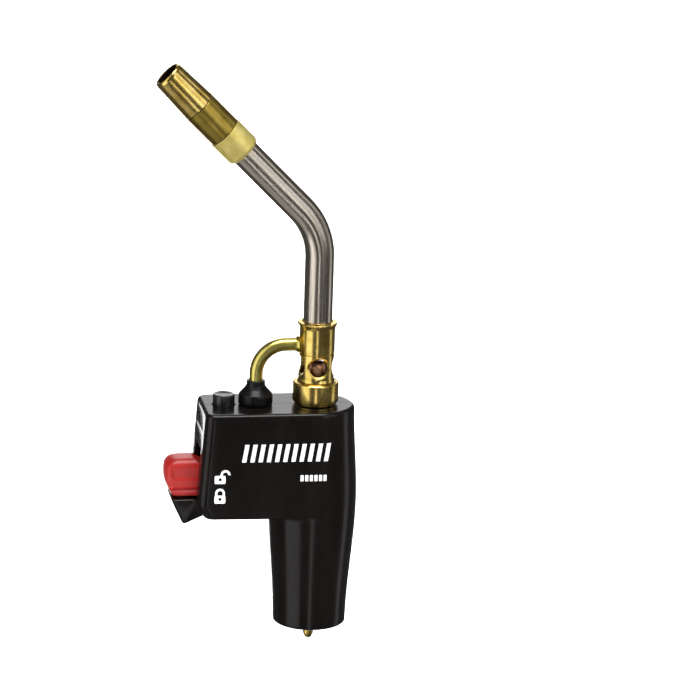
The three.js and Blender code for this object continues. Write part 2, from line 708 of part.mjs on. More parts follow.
// ---- valve ----
const leverNear = LEVER_Y - LEVER_HALF_WIDTH - 0.7;
const valveLow = VALVE_BLOCK_BOTTOM;
const pipeLow = bodyHigh - 2;
add('outlet_pipe', ring(PIPE_BORE_R, PIPE_R, pipeLow, valveLow + PIPE_SEAT - GAP, 16), brass);
add('valve_block', cut(
  join(
    block([-PIPE_R - 2.5, -PIPE_R - 3.5, valveLow], [PIPE_R + 3, leverNear, VALVE_TOP]),
    block([VALVE_FRONT, leverNear - 1, valveLow], [9, LEVER_Y + 3, VALVE_TOP]),
  ),
  bar('z', [0, 0], valveLow - 1, VALVE_TOP + 1, PIPE_BORE_R, 12),
  bar('z', [0, 0], valveLow - 1, valveLow + PIPE_SEAT, PIPE_R + GAP, 16),
  bar('z', [0, 0], VALVE_TOP - PIPE_SEAT, VALVE_TOP + 1, PIPE_R + GAP, 16),
  bar('x', [LEVER_Y, STEM_Z], VALVE_FRONT - 1, 6.5, STEM_R + GAP, 12),
  bar('x', [LEVER_Y, STEM_Z], VALVE_FRONT - 1, VALVE_FRONT + 1.7, STEM_R + 1.5, 12),
  bar('y', [0, STEM_Z], -1, LEVER_Y, CROSS_PORT_R, 10),
), brass);

const stemTip = LEVER_X + LEVER_HALF_THICK + 0.6;
const stemCollar = { front: stemTip + 1.6, back: stemTip + 2.4 };
add('valve_stem', join(
  bar('x', [LEVER_Y, STEM_Z], stemTip, 2, STEM_R, 12),
  bar('x', [LEVER_Y, STEM_Z], stemCollar.front, stemCollar.back, STEM_R + 1.6, 12),
), zincSteel);
const valveSeal = add('valve_seal', ring(STEM_R + 0.25, STEM_R + 1.2, 0.3, 1.5, 12), blackRubber);
valveSeal.rotation.y = Math.PI / 2;
valveSeal.position.set(VALVE_FRONT, LEVER_Y, STEM_Z);
const valveSpringLength = VALVE_FRONT - stemCollar.back - 2 * SPRING_GAP;
const valveSpring = add('valve_spring', coil(STEM_R + 0.95, 0.3, valveSpringLength, 3), springSteel);
valveSpring.rotation.y = Math.PI / 2;
valveSpring.position.set(stemCollar.back + SPRING_GAP, LEVER_Y, STEM_Z);

const leverY = [LEVER_Y - LEVER_HALF_WIDTH, LEVER_Y + LEVER_HALF_WIDTH];
add('valve_lever', cut(
  join(
    block(
      [LEVER_X - LEVER_HALF_THICK, leverY[0], FINGER_Z - 3],
      [LEVER_X + LEVER_HALF_THICK, leverY[1], LEVER_PIN_Z],
    ),
    bar('y', [LEVER_X, LEVER_PIN_Z], leverY[0], leverY[1], LEVER_EYE_R, 16),
  ),
  bar('y', [LEVER_X, LEVER_PIN_Z], leverY[0] - 1, leverY[1] + 1, LEVER_PIN_R + GAP, 12),
), zincSteel);
const pinFrom = leverY[0] - 1.4;
add('lever_pin', bar('y', [LEVER_X, LEVER_PIN_Z], pinFrom, leverY[1] + 6.2, LEVER_PIN_R, 12), springSteel);

// ---- gas way up into the mixer ----
const seatZ = HEAD_TOP + 0.4;
const mixerLow = seatZ + COLLAR_FLOOR + GAP;
const mixerTop = mixerLow + MIXER_HEIGHT;
const mixerFloor = mixerLow + MIXER_FLOOR;
const mixerBore = MIXER_R - MIXER_WALL;
const airHoleZ = seatZ + AIR_HOLE_HEIGHT;
const ignitionZ = seatZ + IGNITION_ENTRY_HEIGHT;
const feedTop = mixerFloor + 0.4;
add('feed_tube', ring(PIPE_BORE_R, PIPE_R, VALVE_TOP - PIPE_SEAT + GAP, feedTop, 16), brass);
add('jet_nozzle', turned([
  [JET_BORE_R, feedTop + 0.4],
  [JET_R, feedTop + 0.4],
  [JET_R, airHoleZ - 5],
  [JET_NOSE_R, airHoleZ - 3.8],
  [JET_NOSE_R, airHoleZ],
  [JET_BORE_R, airHoleZ],
], 12), brass);
add('mixer_collar', turned([
  [PIPE_R + GAP, seatZ],
  [COLLAR_R, seatZ],
  [COLLAR_R, seatZ + COLLAR_HEIGHT - COLLAR_CHAMFER],
  [COLLAR_R - COLLAR_CHAMFER, seatZ + COLLAR_HEIGHT],
  [MIXER_R + GAP, seatZ + COLLAR_HEIGHT],
  [MIXER_R + GAP, seatZ + COLLAR_FLOOR],
  [PIPE_R + GAP, seatZ + COLLAR_FLOOR],
]), brass);
add('mixer_body', cut(
  turned([
    [PIPE_R + GAP, mixerLow],
    [MIXER_R, mixerLow],
    [MIXER_R, mixerTop],
    [mixerBore, mixerTop],
    [mixerBore, mixerFloor],
    [PIPE_R + GAP, mixerFloor],
  ]),
  bar('x', [0, airHoleZ], -MIXER_R - 2, MIXER_R + 2, AIR_HOLE_R, 16),
  bar('y', [0, airHoleZ], -MIXER_R - 2, MIXER_R + 2, AIR_HOLE_R, 16),
  bar('x', [0, ignitionZ], -MIXER_R - 2, 0, IGNITION_TUBE_R + GAP, 16),
), brass);

// ---- burner tube ----
const crossing = new THREE.Vector3(0, 0, seatZ + BURNER_RISE);
const slant = new THREE.Vector3(-Math.sin(BURNER_ANGLE), 0, Math.cos(BURNER_ANGLE));
const alongSlant = (distance) => crossing.clone().addScaledVector(slant, distance);
const tubeEnd = TIP_START + BASE_RING_LENGTH - 1.7;
const tubeFoot = new THREE.Vector3(0, 0, ignitionZ + IGNITION_TUBE_R + 0.9);
const burnerRoute = new BentRoute([tubeFoot, crossing, alongSlant(tubeEnd)], [BURNER_BEND_R]);
const burnerBore = BURNER_TUBE_R - BURNER_TUBE_WALL;
add('burner_tube', tube(burnerRoute, BURNER_TUBE_R, 18, 14, burnerBore), stainless);

// ---- tip, built along the slanted run ----
const tip = new THREE.Group();
tip.position.copy(crossing);
tip.rotation.y = -BURNER_ANGLE;
torch.add(tip);
const ringEnd = TIP_START + BASE_RING_LENGTH;
add('tip_base_ring', turned([
  [BURNER_TUBE_R + GAP, TIP_START],
  [BASE_RING_R - 0.8, TIP_START],
  [BASE_RING_R, TIP_START + 0.9],
  [BASE_RING_R, ringEnd],
  [BURNER_TUBE_R + GAP, ringEnd],
]), paleBrass, tip);
const sleeveStart = ringEnd + GAP;
const sleeveEnd = sleeveStart + SLEEVE_LENGTH;
const sleeveBore = SLEEVE_R - SLEEVE_WALL;
add('tip_sleeve', ring(sleeveBore, SLEEVE_R, sleeveStart, sleeveEnd), brass, tip);
const barrelStart = sleeveEnd + GAP;
const mouth = barrelStart + BARREL_LENGTH;
add('tip_barrel', turned([
  [MOUTH_BORE_R, barrelStart],
  [SLEEVE_R, barrelStart],
  [MOUTH_R, mouth - 1.6],
  [MOUTH_R - 0.8, mouth],
  [MOUTH_BORE_R, mouth],
]), brass, tip);

const swirlerStart = sleeveStart + 4;
const swirlerEnd = swirlerStart + SWIRLER_LENGTH;
const swirlerRing = ring(INSULATOR_R + GAP, sleeveBore - GAP, swirlerStart, swirlerEnd, 24);
const slotCircle = (INSULATOR_R + sleeveBore) / 2;
const vaneSlots = Array.from({ length: SWIRLER_VANES }, (_, i) => {
  const angle = (turn * i) / SWIRLER_VANES;
  const place = [slotCircle * Math.cos(angle), slotCircle * Math.sin(angle)];
  return bar('z', place, swirlerStart - 1, swirlerEnd + 1, SWIRLER_SLOT_R, 8);
});
add('flame_swirler', cut(swirlerRing, ...vaneSlots), brass, tip);
const insulatorStart = sleeveStart + 0.5;
const insulatorEnd = insulatorStart + INSULATOR_LENGTH;
const insulator = ring(ELECTRODE_R + GAP, INSULATOR_R, insulatorStart, insulatorEnd, 12);
add('electrode_insulator', insulator, ceramic, tip);
const electrodeStart = tubeEnd + 0.6;
const electrode = bar('z', [0, 0], electrodeStart, electrodeStart + ELECTRODE_LENGTH, ELECTRODE_R, 8);
add('spark_electrode', electrode, springSteel, tip);

// ---- ignition tube, boot and lead ----
const at = (x, y, z) => new THREE.Vector3(x, y, z);
const ignitionRoute = new BentRoute(
  [at(BOOT_X, 0, HEAD_TOP - WALL - 0.6), at(BOOT_X, 0, ignitionZ), at(0.9 - MIXER_R, 0, ignitionZ)],
  [IGNITION_BEND_R],
);
const ignitionBore = IGNITION_TUBE_R - IGNITION_TUBE_WALL;
add('ignition_tube', tube(ignitionRoute, IGNITION_TUBE_R, 12, 10, ignitionBore), brass);

const bootFoot = HEAD_TOP + GAP;
const bootBell = Array.from({ length: 5 }, (_, i) => {
  const angle = (Math.PI / 2) * (i / 4);
  const reach = BOOT_R - BOOT_NECK_R;
  const height = BOOT_SKIRT + BOOT_SHOULDER * Math.sin(angle);
  return [BOOT_NECK_R + reach * Math.cos(angle), bootFoot + height];
});
const bootProfile = [
  [IGNITION_TUBE_R + GAP, bootFoot],
  [BOOT_R, bootFoot],
  ...bootBell,
  [BOOT_NECK_R, bootFoot + BOOT_HEIGHT],
  [IGNITION_TUBE_R + GAP, bootFoot + BOOT_HEIGHT],
];
add('lead_boot', turned(bootProfile, 20), blackRubber).position.x = BOOT_X;

const leadTurn = { x: PIEZO_BACK + 4.5, z: HEAD_TOP - 12 };
const leadRoute = new BentRoute([
  at(PIEZO_BACK + GAP, PIEZO_Y, PIEZO_Z),
  at(leadTurn.x, PIEZO_Y, PIEZO_Z),
  at(leadTurn.x, PIEZO_Y, leadTurn.z),
  at(BOOT_X, 0, HEAD_TOP - 7),
  at(BOOT_X, 0, ignitionZ),
  at(0, 0, ignitionZ),
  crossing,
  alongSlant(tubeEnd - 0.2),
], [2.5, 5, 3.5, IGNITION_BEND_R, 4.5, BURNER_BEND_R]);
add('igniter_lead', tube(leadRoute, LEAD_R, 8, 46), silicone);

add('piezo_body', cut(
  bar('x', [PIEZO_Y, PIEZO_Z], PIEZO_FRONT, PIEZO_BACK, PIEZO_R, 16),
  bar('x', [PIEZO_Y, PIEZO_Z], PIEZO_FRONT - 1, PIEZO_BACK - 3, PIEZO_BORE_R, 16),
), ivoryNylon);
const plungerFront = CARRIAGE_BACK + GAP;
const plungerR = PIEZO_BORE_R - SLOT_CLEARANCE;
const plunger = bar('x', [PIEZO_Y, PIEZO_Z], plungerFront, plungerFront + PLUNGER_LENGTH, plungerR, 14);
add('piezo_plunger', plunger, ivoryNylon);

// ---- trigger and carriage ----
const slotFace = CARRIAGE_FRONT + SLOT_LIP;
const slotBack = slotFace + TAIL_HEAD_DEPTH + 2 * SLOT_CLEARANCE;
const neckHalf = TAIL_NECK_HALF + SLOT_CLEARANCE;
const slotHalf = TAIL_HEAD_HALF + SLOT_CLEARANCE;
const carriageSide = [
  [CARRIAGE_BACK, CARRIAGE_HALF_WIDTH],
  [CARRIAGE_FRONT, CARRIAGE_HALF_WIDTH],
  [CARRIAGE_FRONT, neckHalf],
  [slotFace, neckHalf],
  [slotFace, slotHalf],
  [slotBack, slotHalf],
];
const mirrored = carriageSide.map(([x, y]) => [x, -y]).reverse();
const catchX = CARRIAGE_FRONT + 6;
const fingerTip = LEVER_X - LEVER_HALF_THICK - 0.4;
add('trigger_carriage', join(
  column([...carriageSide, ...mirrored], CARRIAGE_FOOT, CARRIAGE_TOP),
  block(
    [catchX, -CATCH_HALF_WIDTH, CARRIAGE_TOP - 1],
    [catchX + CATCH_THICK, CATCH_HALF_WIDTH, CATCH_TOP],
  ),
  block(
    [CARRIAGE_BACK - 1, LEVER_Y - 1.5, FINGER_Z - 1],
    [fingerTip, LEVER_Y + 1.5, FINGER_Z + 1],
  ),
), ivoryNylon);

const triggerBack = CARRIAGE_FRONT - 0.4;
const FRONT_STEPS = 6;
const triggerFrontCurve = Array.from({ length: FRONT_STEPS + 1 }, (_, i) => {
  const t = i / FRONT_STEPS;
  const hollow = TRIGGER_BULGE * (2 * t - 1.2) ** 2;
  return [TRIGGER_FRONT + hollow, TRIGGER_FOOT + TRIGGER_HEIGHT * t];
});
const triggerOutline = [[triggerBack, TRIGGER_FOOT], ...triggerFrontCurve, [triggerBack, TRIGGER_TOP]];
const tailLow = TRIGGER_FOOT + TAIL_INSET;
const tailHigh = TRIGGER_TOP - TAIL_DROP;
const tailBack = slotBack - SLOT_CLEARANCE;
add('trigger', join(
  sidePlate(triggerOutline, TRIGGER_HALF_WIDTH, 0, TRIGGER_BEVEL),
  block([triggerBack - 1, -TAIL_NECK_HALF, tailLow], [tailBack - 0.6, TAIL_NECK_HALF, tailHigh]),
  block(
    [tailBack - TAIL_HEAD_DEPTH, -TAIL_HEAD_HALF, tailLow],
    [tailBack, TAIL_HEAD_HALF, tailHigh],
  ),
), redPlastic);

const triggerCoil = coil(trigSpring.radius, 0.4, trigSpring.back - trigSpring.front, 5);
const triggerSpring = add('trigger_spring', triggerCoil, springSteel);
triggerSpring.rotation.y = Math.PI / 2;
triggerSpring.position.set(trigSpring.front, trigSpring.y, trigSpring.z);

// ---- run-lock button and its spring ----
const flangeTop = HEAD_TOP - WALL - GAP;
const flangeLow = flangeTop - BUTTON_FLANGE_THICK;
const buttonTop = HEAD_TOP + BUTTON_STANDS;
const stemEnd = CATCH_TOP + BUTTON_TRAVEL + GAP;
add('run_lock_button', turned([
  [0, buttonTop],
  [BUTTON_R - BUTTON_RIM, buttonTop],
  [BUTTON_R, buttonTop - BUTTON_RIM],
  [BUTTON_R, flangeTop],
  [BUTTON_FLANGE_R, flangeTop],
  [BUTTON_FLANGE_R, flangeLow],
  [BUTTON_STEM_R, flangeLow],
  [BUTTON_STEM_R, stemEnd],
  [0, stemEnd],
], 20), greyPlastic).position.x = BUTTON_X;
const lockSpringLength = flangeLow - SHELF_TOP - 2 * SPRING_GAP;
const lockSpring = add('run_lock_spring', coil(4.2, 0.3, lockSpringLength, 3.5), springSteel);
lockSpring.position.set(BUTTON_X, 0, SHELF_TOP + SPRING_GAP);

export default torch;
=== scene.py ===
"""The looks of a trigger-start gas torch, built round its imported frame.

Metres, +Z up. The origin is the centre of the socket mouth at the foot of the grip, and the burner faces -X.
Sizes are written in millimetres and scaled by MM as each mesh is made.
"""
import math

import bmesh
import bpy
from mathutils import Matrix, Vector


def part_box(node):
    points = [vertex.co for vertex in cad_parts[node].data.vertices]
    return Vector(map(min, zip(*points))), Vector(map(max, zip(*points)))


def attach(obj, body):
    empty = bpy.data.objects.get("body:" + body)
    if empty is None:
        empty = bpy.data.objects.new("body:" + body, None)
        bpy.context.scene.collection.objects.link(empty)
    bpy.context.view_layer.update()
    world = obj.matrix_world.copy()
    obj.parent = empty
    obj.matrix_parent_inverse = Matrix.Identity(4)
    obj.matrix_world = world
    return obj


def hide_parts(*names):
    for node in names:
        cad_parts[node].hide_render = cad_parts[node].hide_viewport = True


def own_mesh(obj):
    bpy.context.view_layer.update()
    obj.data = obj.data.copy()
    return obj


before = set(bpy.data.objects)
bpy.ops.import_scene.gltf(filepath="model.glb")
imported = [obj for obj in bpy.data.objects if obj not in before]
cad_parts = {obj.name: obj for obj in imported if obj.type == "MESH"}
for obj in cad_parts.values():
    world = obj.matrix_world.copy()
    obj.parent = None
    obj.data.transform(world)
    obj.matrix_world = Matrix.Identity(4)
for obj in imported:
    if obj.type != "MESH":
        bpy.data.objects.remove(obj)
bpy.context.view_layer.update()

MM = 0.001
GAP = 0.3  # clearance between neighbouring pieces

# ---- housing ----
WALL = 2.2
FOOT_R = 17.6
SWELL_R = 21.1
CROWN_R = 18.9
HEAD_FLOOR = 57.5
HEAD_TOP = 109.0
SWELL_Z = HEAD_FLOOR + 4.5
HEAD_HALF_WIDTH = 19.0
HEAD_CORNER_R = 4.5
HEAD_FRONT_LOW = 57.6
HEAD_FRONT_TOP = 54.4
UNDERCUT = 0.5
EDGE_R = 2.0
SEAM = GAP / 2  # half the gap between the two shells

# ---- trigger, jaw and window ----
TRIGGER_HALF = 8.5
TRIGGER_FOOT = HEAD_FLOOR + 8.2
TRIGGER_TOP = TRIGGER_FOOT + 18.3
TRIGGER_FRONT = -71.6
LOCK_TRAVEL = 5.0
WINDOW_HALF = TRIGGER_HALF + 0.5
WINDOW_LOW = TRIGGER_FOOT - 0.6
WINDOW_HIGH = TRIGGER_TOP + LOCK_TRAVEL + 0.6
JAW_HALF = TRIGGER_HALF + 1.0
JAW_TOP = TRIGGER_FOOT - 1.3
JAW_REACH = 11.8
JAW_DROP = 4.7

# ---- along the top of the head ----
BUTTON_X = -44.0
BUTTON_R = 5.2
BOOT_X = -28.8
TUBE_R = 3.175
PIPE_R = 3.0
HOLE_CLEARANCE = 0.5
SEAT_Z = HEAD_TOP + 0.4

# ---- burner ----
BURNER_R = 6.9
BURNER_BORE_R = 6.0
BURNER_BEND_R = 33.0
CROSSING = Vector((0, 0, SEAT_Z + 84.8))
SLANT = math.radians(45)
AIR_HOLE_Z = SEAT_Z + 18.6
AIR_HOLE_R = 4.5
IGNITION_Z = SEAT_Z + 28.7
MIXER_R = 8.5
MIXER_BORE_R = 7.2
MIXER_LOW = SEAT_Z + 1.9
MIXER_TOP = MIXER_LOW + 37.4
COLLAR_R = 10.95
COLLAR_TOP = SEAT_Z + 10.6
RING_START = 52.4
RING_END = RING_START + 13.3
SLEEVE_START = RING_END + GAP
SLEEVE_END = SLEEVE_START + 16.9
BARREL_START = SLEEVE_END + GAP
MOUTH = BARREL_START + 21.8

EXACT_CORNER = math.radians(32)  # edges sharper than this stay crisp


# ================= mesh helpers =================

def smoothstep(low, high, value):
    t = min(1.0, max(0.0, (value - low) / (high - low)))
    return t * t * (3 - 2 * t)


def spread(low, high, count):
    """count + 1 evenly spaced numbers from low to high."""
    return [low + (high - low) * i / count for i in range(count + 1)]


def rounded(corners, steps=4):
    """An outline of (a, b, radius) corners, each turned into an arc of that radius."""
    points = []
    count = len(corners)
    for i, (a, b, radius) in enumerate(corners):
        here = Vector((a, b))
        if radius == 0:
            points.append(here)
            continue
        before = Vector(corners[i - 1][:2]) - here
        after = Vector(corners[(i + 1) % count][:2]) - here
        turn = before.angle(after)
        reach = min(radius / math.tan(turn / 2), 0.49 * before.length, 0.49 * after.length)
        start = here + before.normalized() * reach
        end = here + after.normalized() * reach
        for t in spread(0, 1, steps):
            points.append(start.lerp(here, t).lerp(here.lerp(end, t), t))
    return [(p.x, p.y) for p in points]


def finish_mesh(name, mesh, material):
    """Merges doubles, turns the faces out, shades it and links it as an object at the origin."""
    work = bmesh.new()
    work.from_mesh(mesh)
    bmesh.ops.remove_doubles(work, verts=work.verts, dist=1e-7)
    bmesh.ops.dissolve_degenerate(work, edges=work.edges, dist=1e-7)
    bmesh.ops.recalc_face_normals(work, faces=work.faces)
    work.to_mesh(mesh)
    work.free()
    mesh.shade_smooth()
    mesh.set_sharp_from_angle(angle=EXACT_CORNER)
    mesh.materials.clear()
    mesh.materials.append(material)
    piece = bpy.data.objects.new(name, mesh)
    bpy.context.scene.collection.objects.link(piece)
    return piece


def mesh_of(name, points, faces):
    """A mesh from points in millimetres."""
    mesh = bpy.data.meshes.new(name)
    mesh.from_pydata([Vector(p) * MM for p in points], [], faces)
    return mesh


def seat(piece, body, slot, *nodes):
    """Rides the piece on its body and hides the CAD nodes that it stands for. The slot argument is not used."""
    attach(piece, body)
    if nodes:
        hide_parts(*nodes)
    return piece


def lofted(rings, close_ends=True):
    """Points and faces of a skin through rings with the same number of points."""
    around = len(rings[0])
    points = [p for one in rings for p in one]
    faces = []
    for r in range(len(rings) - 1):
        for c in range(around):
            d = (c + 1) % around
            faces.append((r * around + c, r * around + d, (r + 1) * around + d, (r + 1) * around + c))
    if close_ends:
        last = (len(rings) - 1) * around
        faces.append(tuple(range(around)))
        faces.append(tuple(last + c for c in range(around)))
    return points, faces


def turned(name, outline, material, place=Matrix.Identity(4), sides=96):
    """A closed outline of (radius, height) turned about an axis and moved by place, in millimetres."""
    rings = []
    for i in range(sides):
        angle = 2 * math.pi * i / sides
        rings.append([place @ Vector((r * math.cos(angle), r * math.sin(angle), z)) for r, z in outline])
    points, faces = lofted(rings + [rings[0]], close_ends=False)
    return finish_mesh(name, mesh_of(name, points, faces), material)


def along_x(x, y, z):
    """Turns +Z to +X and moves to a place."""
    return Matrix.Translation((x, y, z)) @ Matrix.Rotation(math.pi / 2, 4, "Y")


TIP = Matrix.Translation(CROSSING) @ Matrix.Rotation(-SLANT, 4, "Y")


def bent_route(corners, radii, step):
    """Points and directions every step along straight runs joined by arcs, in the plane of X and Z."""
    route = []
    start = corners[0]
    for i in range(1, len(corners) - 1):
        into = (corners[i] - corners[i - 1]).normalized()
        out = (corners[i + 1] - corners[i]).normalized()
        angle = into.angle(out)
        reach = radii[i - 1] * math.tan(angle / 2)
        arc_start = corners[i] - into * reach
        count = max(1, round((arc_start - start).length / step))
        route += [(start.lerp(arc_start, t), into) for t in spread(0, 1, count)[:-1]]
        side = (out - into * out.dot(into)).normalized()
        count = max(6, round(radii[i - 1] * angle / step))
        for t in spread(0, angle, count)[:-1]:
            place = arc_start + radii[i - 1] * (into * math.sin(t) + side * (1 - math.cos(t)))
            route.append((place, into * math.cos(t) + side * math.sin(t)))
        start = corners[i] + out * reach
    end = corners[-1]
    way = (end - start).normalized()
    count = max(1, round((end - start).length / step))
    route += [(start.lerp(end, t), way) for t in spread(0, 1, count)]
    return route


def swept_tube(name, route, radius_at, bore, material, sides=64):
    """A tube along a route. radius_at(distance) is its outer radius. Its UV map is in millimetres."""
    travelled = [0.0]
    for (p, _), (q, _) in zip(route, route[1:]):
        travelled.append(travelled[-1] + (q - p).length)
    rings, marks = [], []
    outer = [(p, d, s, radius_at(s)) for (p, d), s in zip(route, travelled)]
    inner = [(p, d, s, bore) for p, d, s, _ in reversed(outer)]
    for place, direction, distance, radius in outer + inner + outer[:1]:
        across = Vector((0, 1, 0))
        up = direction.cross(across)
        angles = [2 * math.pi * c / sides for c in range(sides)]
        rings.append([place + radius * (math.cos(a) * across + math.sin(a) * up) for a in angles])
        marks.append((distance, radius))
    points, faces = lofted(rings, close_ends=False)
    mesh = mesh_of(name, points, faces)
    uv = mesh.uv_layers.new(name="along")
    for face in mesh.polygons:
        columns = [v % sides for v in face.vertices]
        wraps = max(columns) - min(columns) > 1
        for loop, vertex, column in zip(face.loop_indices, face.vertices, columns):
            distance, radius = marks[vertex // sides]
            turn = column + (sides if wraps and column == 0 else 0)
            uv.data[loop].uv = (distance, turn / sides * 2 * math.pi * radius)
    return finish_mesh(name, mesh, material)


# ================= node helpers =================

def linear(code):
    """An sRGB hex colour as linear RGBA."""
    channels = [int(code[i:i + 2], 16) / 255 for i in (1, 3, 5)]
    return [c / 12.92 if c <= 0.04045 else ((c + 0.055) / 1.055) ** 2.4 for c in channels] + [1.0]


def add(tree, kind, inputs=None, **settings):
    """Adds a node; inputs are values or the sockets that feed them."""
    made = tree.nodes.new(kind)
    for name, value in settings.items():
        setattr(made, name, value)
    for key, value in (inputs or {}).items():
        if isinstance(value, bpy.types.NodeSocket):
            tree.links.new(value, made.inputs[key])
        else:
            made.inputs[key].default_value = value
    return made


def patterned(name, constants, grain, tint=None, shine=None):
    """A material from one recipe: a grain of a real depth, colour in patches and roughness in patches.

    grain is (pattern, depth in millimetres, strength), tint is (pattern, dark, light) and shine is
    (pattern, low, high). A pattern's size is the width of its features in millimetres, and stretch squeezes it
    along each axis.
    Its span is the part of the noise that takes the colour from dark to light.
    """
    material = bpy.data.materials.new(name)
    material.use_nodes = True
    tree = material.node_tree
    tree.nodes.clear()
    shader = add(tree, "ShaderNodeBsdfPrincipled", constants)
    add(tree, "ShaderNodeOutputMaterial", {"Surface": shader.outputs["BSDF"]})
    where = add(tree, "ShaderNodeTexCoord").outputs["Object"]
    fields = {}
    for pattern, *_ in filter(None, (grain, tint, shine)):
        if id(pattern) in fields:
            continue
        place = where
        unit = MM
        if "map" in pattern:
            place = add(tree, "ShaderNodeUVMap", uv_map=pattern["map"]).outputs["UV"]
            unit = 1.0
        if "turn" in pattern:
            place = add(tree, "ShaderNodeMapping", {
                "Vector": place, "Rotation": (0, pattern["turn"], 0),
            }).outputs[0]
        stretch = pattern.get("stretch", (1, 1, 1))
        fields[id(pattern)] = add(tree, "ShaderNodeTexNoise", {
            "Vector": add(tree, "ShaderNodeMapping", {"Vector": place, "Scale": stretch}).outputs["Vector"],
            "Scale": 1 / (pattern["size"] * unit),
            "Detail": pattern.get("detail", 3.0),
            "Roughness": pattern.get("soften", 0.55),
        }).outputs["Fac"]
    pattern, depth_mm, strength = grain
    height = {"Height": fields[id(pattern)], "Strength": strength, "Distance": depth_mm * MM}
    tree.links.new(add(tree, "ShaderNodeBump", height).outputs["Normal"], shader.inputs["Normal"])
    if tint:
        pattern, dark, light = tint
        low, high = pattern.get("span", (0.3, 0.7))
        share = add(tree, "ShaderNodeMapRange", {
            "Value": fields[id(pattern)], "From Min": low, "From Max": high,
        })
        ends = {0: share.outputs["Result"], 6: linear(dark), 7: linear(light)}
        tree.links.new(
            add(tree, "ShaderNodeMix", ends, data_type="RGBA").outputs[2], shader.inputs["Base Color"])
    if shine:
        pattern, low, high = shine
        level = add(tree, "ShaderNodeMapRange", {"Value": fields[id(pattern)], "To Min": low, "To Max": high})
        tree.links.new(level.outputs["Result"], shader.inputs["Roughness"])
    return material


# ================= materials =================
# A grain or a tool mark under half a millimetre is drawn coarser than the real one, so that it shows in the
# render.

def black_nylon():
    """Glass-filled nylon, moulded in a spark-eroded tool: black, satin, with a fine even pebble."""
    flow = {"size": 14, "detail": 2.0, "stretch": (1, 1, 0.4)}
    pebble = {"size": 0.45, "detail": 2.0}  # coarser than the real pebble
    constants = {"Specular IOR Level": 0.22}
    tint = (flow, "#0B0908", "#120F0E")
    return patterned("black_glass_filled_nylon", constants, (pebble, 0.012, 0.5), tint, (flow, 0.16, 0.26))


def red_acetal():
    """Red acetal, moulded in a polished tool: glossy, slightly see-through at thin edges."""
    constants = {"IOR": 1.48, "Subsurface Weight": 0.08, "Subsurface Scale": 0.002}
    ripple = ({"size": 0.6, "detail": 2.0}, 0.005, 0.2)
    tint = ({"size": 9, "stretch": (1, 1, 0.5)}, "#9A1612", "#A81D18")
    return patterned("red_moulded_acetal", constants, ripple, tint, ({"size": 1.5}, 0.34, 0.42))


def button_abs():
    """Dark grey ABS with a smooth moulded skin and a trace of handling polish."""
    tint = ({"size": 5}, "#161718", "#202122")
    skin = ({"size": 0.5, "detail": 2.0}, 0.006, 0.4)
    return patterned("dark_grey_abs", {"IOR": 1.53}, skin, tint, ({"size": 2.0}, 0.16, 0.3))


def black_rubber():
    """Moulded EPDM rubber: deep black, soft highlight, a dusting of bloom in patches."""
    bloom = {"size": 4, "detail": 4.0, "span": (0.35, 0.75)}
    skin = ({"size": 0.35, "detail": 2.0}, 0.012, 0.5)  # coarser than the real skin
    tint = (bloom, "#060607", "#0E0E0F")
    return patterned("black_epdm_rubber", {"Specular IOR Level": 0.25}, skin, tint, (bloom, 0.26, 0.38))


def brass(name, dark, light, rough_low, rough_high, turn):
    """Brass with tool rings round its axis, which leans by turn, and a patchy tarnish between two colours."""
    rings = {"size": 0.35, "detail": 2.0, "stretch": (0.02, 0.02, 1), "turn": turn}  # real rings are finer
    tint = ({"size": 6, "detail": 4.0, "span": (0.3, 0.68)}, dark, light)
    shine = ({"size": 1.2, "detail": 4.0}, rough_low, rough_high)
    return patterned(name, {"Metallic": 1.0}, (rings, 0.005, 0.25), tint, shine)


def turned_brass():
    """Free-cutting brass, turned on a lathe: warm yellow, with fine tool rings that streak its highlights."""
    return brass("turned_brass", "#C8A850", "#EACF7C", 0.16, 0.3, 0.0)


BORE_SHADE_R = 5.95  # painted shade: the barrel's bore is coloured dark brown inside this radius
BORE_SHADE_ROUGHNESS = 0.6


def barrel_brass():
    """The same brass on the slanted tip: polished outside, and dark and rough in its bore, where the dark colour
    is painted shade.
    """
    material = brass("polished_tip_brass", "#C9A752", "#ECD07E", 0.16, 0.28, SLANT)
    tree = material.node_tree
    shader = tree.nodes["Principled BSDF"]
    where = add(tree, "ShaderNodeTexCoord").outputs["Object"]
    from_crossing = add(tree, "ShaderNodeVectorMath", {0: where, 1: CROSSING * MM}, operation="SUBTRACT")
    axis = (-math.sin(SLANT), 0, math.cos(SLANT))
    off_axis = add(
        tree, "ShaderNodeVectorMath", {0: from_crossing.outputs[0], 1: axis}, operation="CROSS_PRODUCT")
    radius = add(tree, "ShaderNodeVectorMath", {0: off_axis.outputs[0]}, operation="LENGTH").outputs["Value"]
    # mask of the painted shade: 0 inside the bore, 1 outside it
    edge = {"Value": radius, "From Min": (BORE_SHADE_R - 0.25) * MM, "From Max": (BORE_SHADE_R + 0.2) * MM}
    unshaded = add(tree, "ShaderNodeMapRange", edge).outputs["Result"]
    plain = shader.inputs["Base Color"].links[0].from_socket
    # painted shade: a dark brown base colour inside the bore
    colour = add(tree, "ShaderNodeMix", {0: unshaded, 6: linear("#1C130A"), 7: plain}, data_type="RGBA")
    tree.links.new(colour.outputs[2], shader.inputs["Base Color"])
    polish = shader.inputs["Roughness"].links[0].from_socket
    rough = add(tree, "ShaderNodeMix", {0: unshaded, 2: BORE_SHADE_ROUGHNESS, 3: polish})
    tree.links.new(rough.outputs[0], shader.inputs["Roughness"])
    return material


def sleeve_brass():
    """Brass that the flame has warmed: darker and browner, with its polish gone."""
    return brass("flame_darkened_brass", "#9A8338", "#B59C4A", 0.28, 0.4, SLANT)


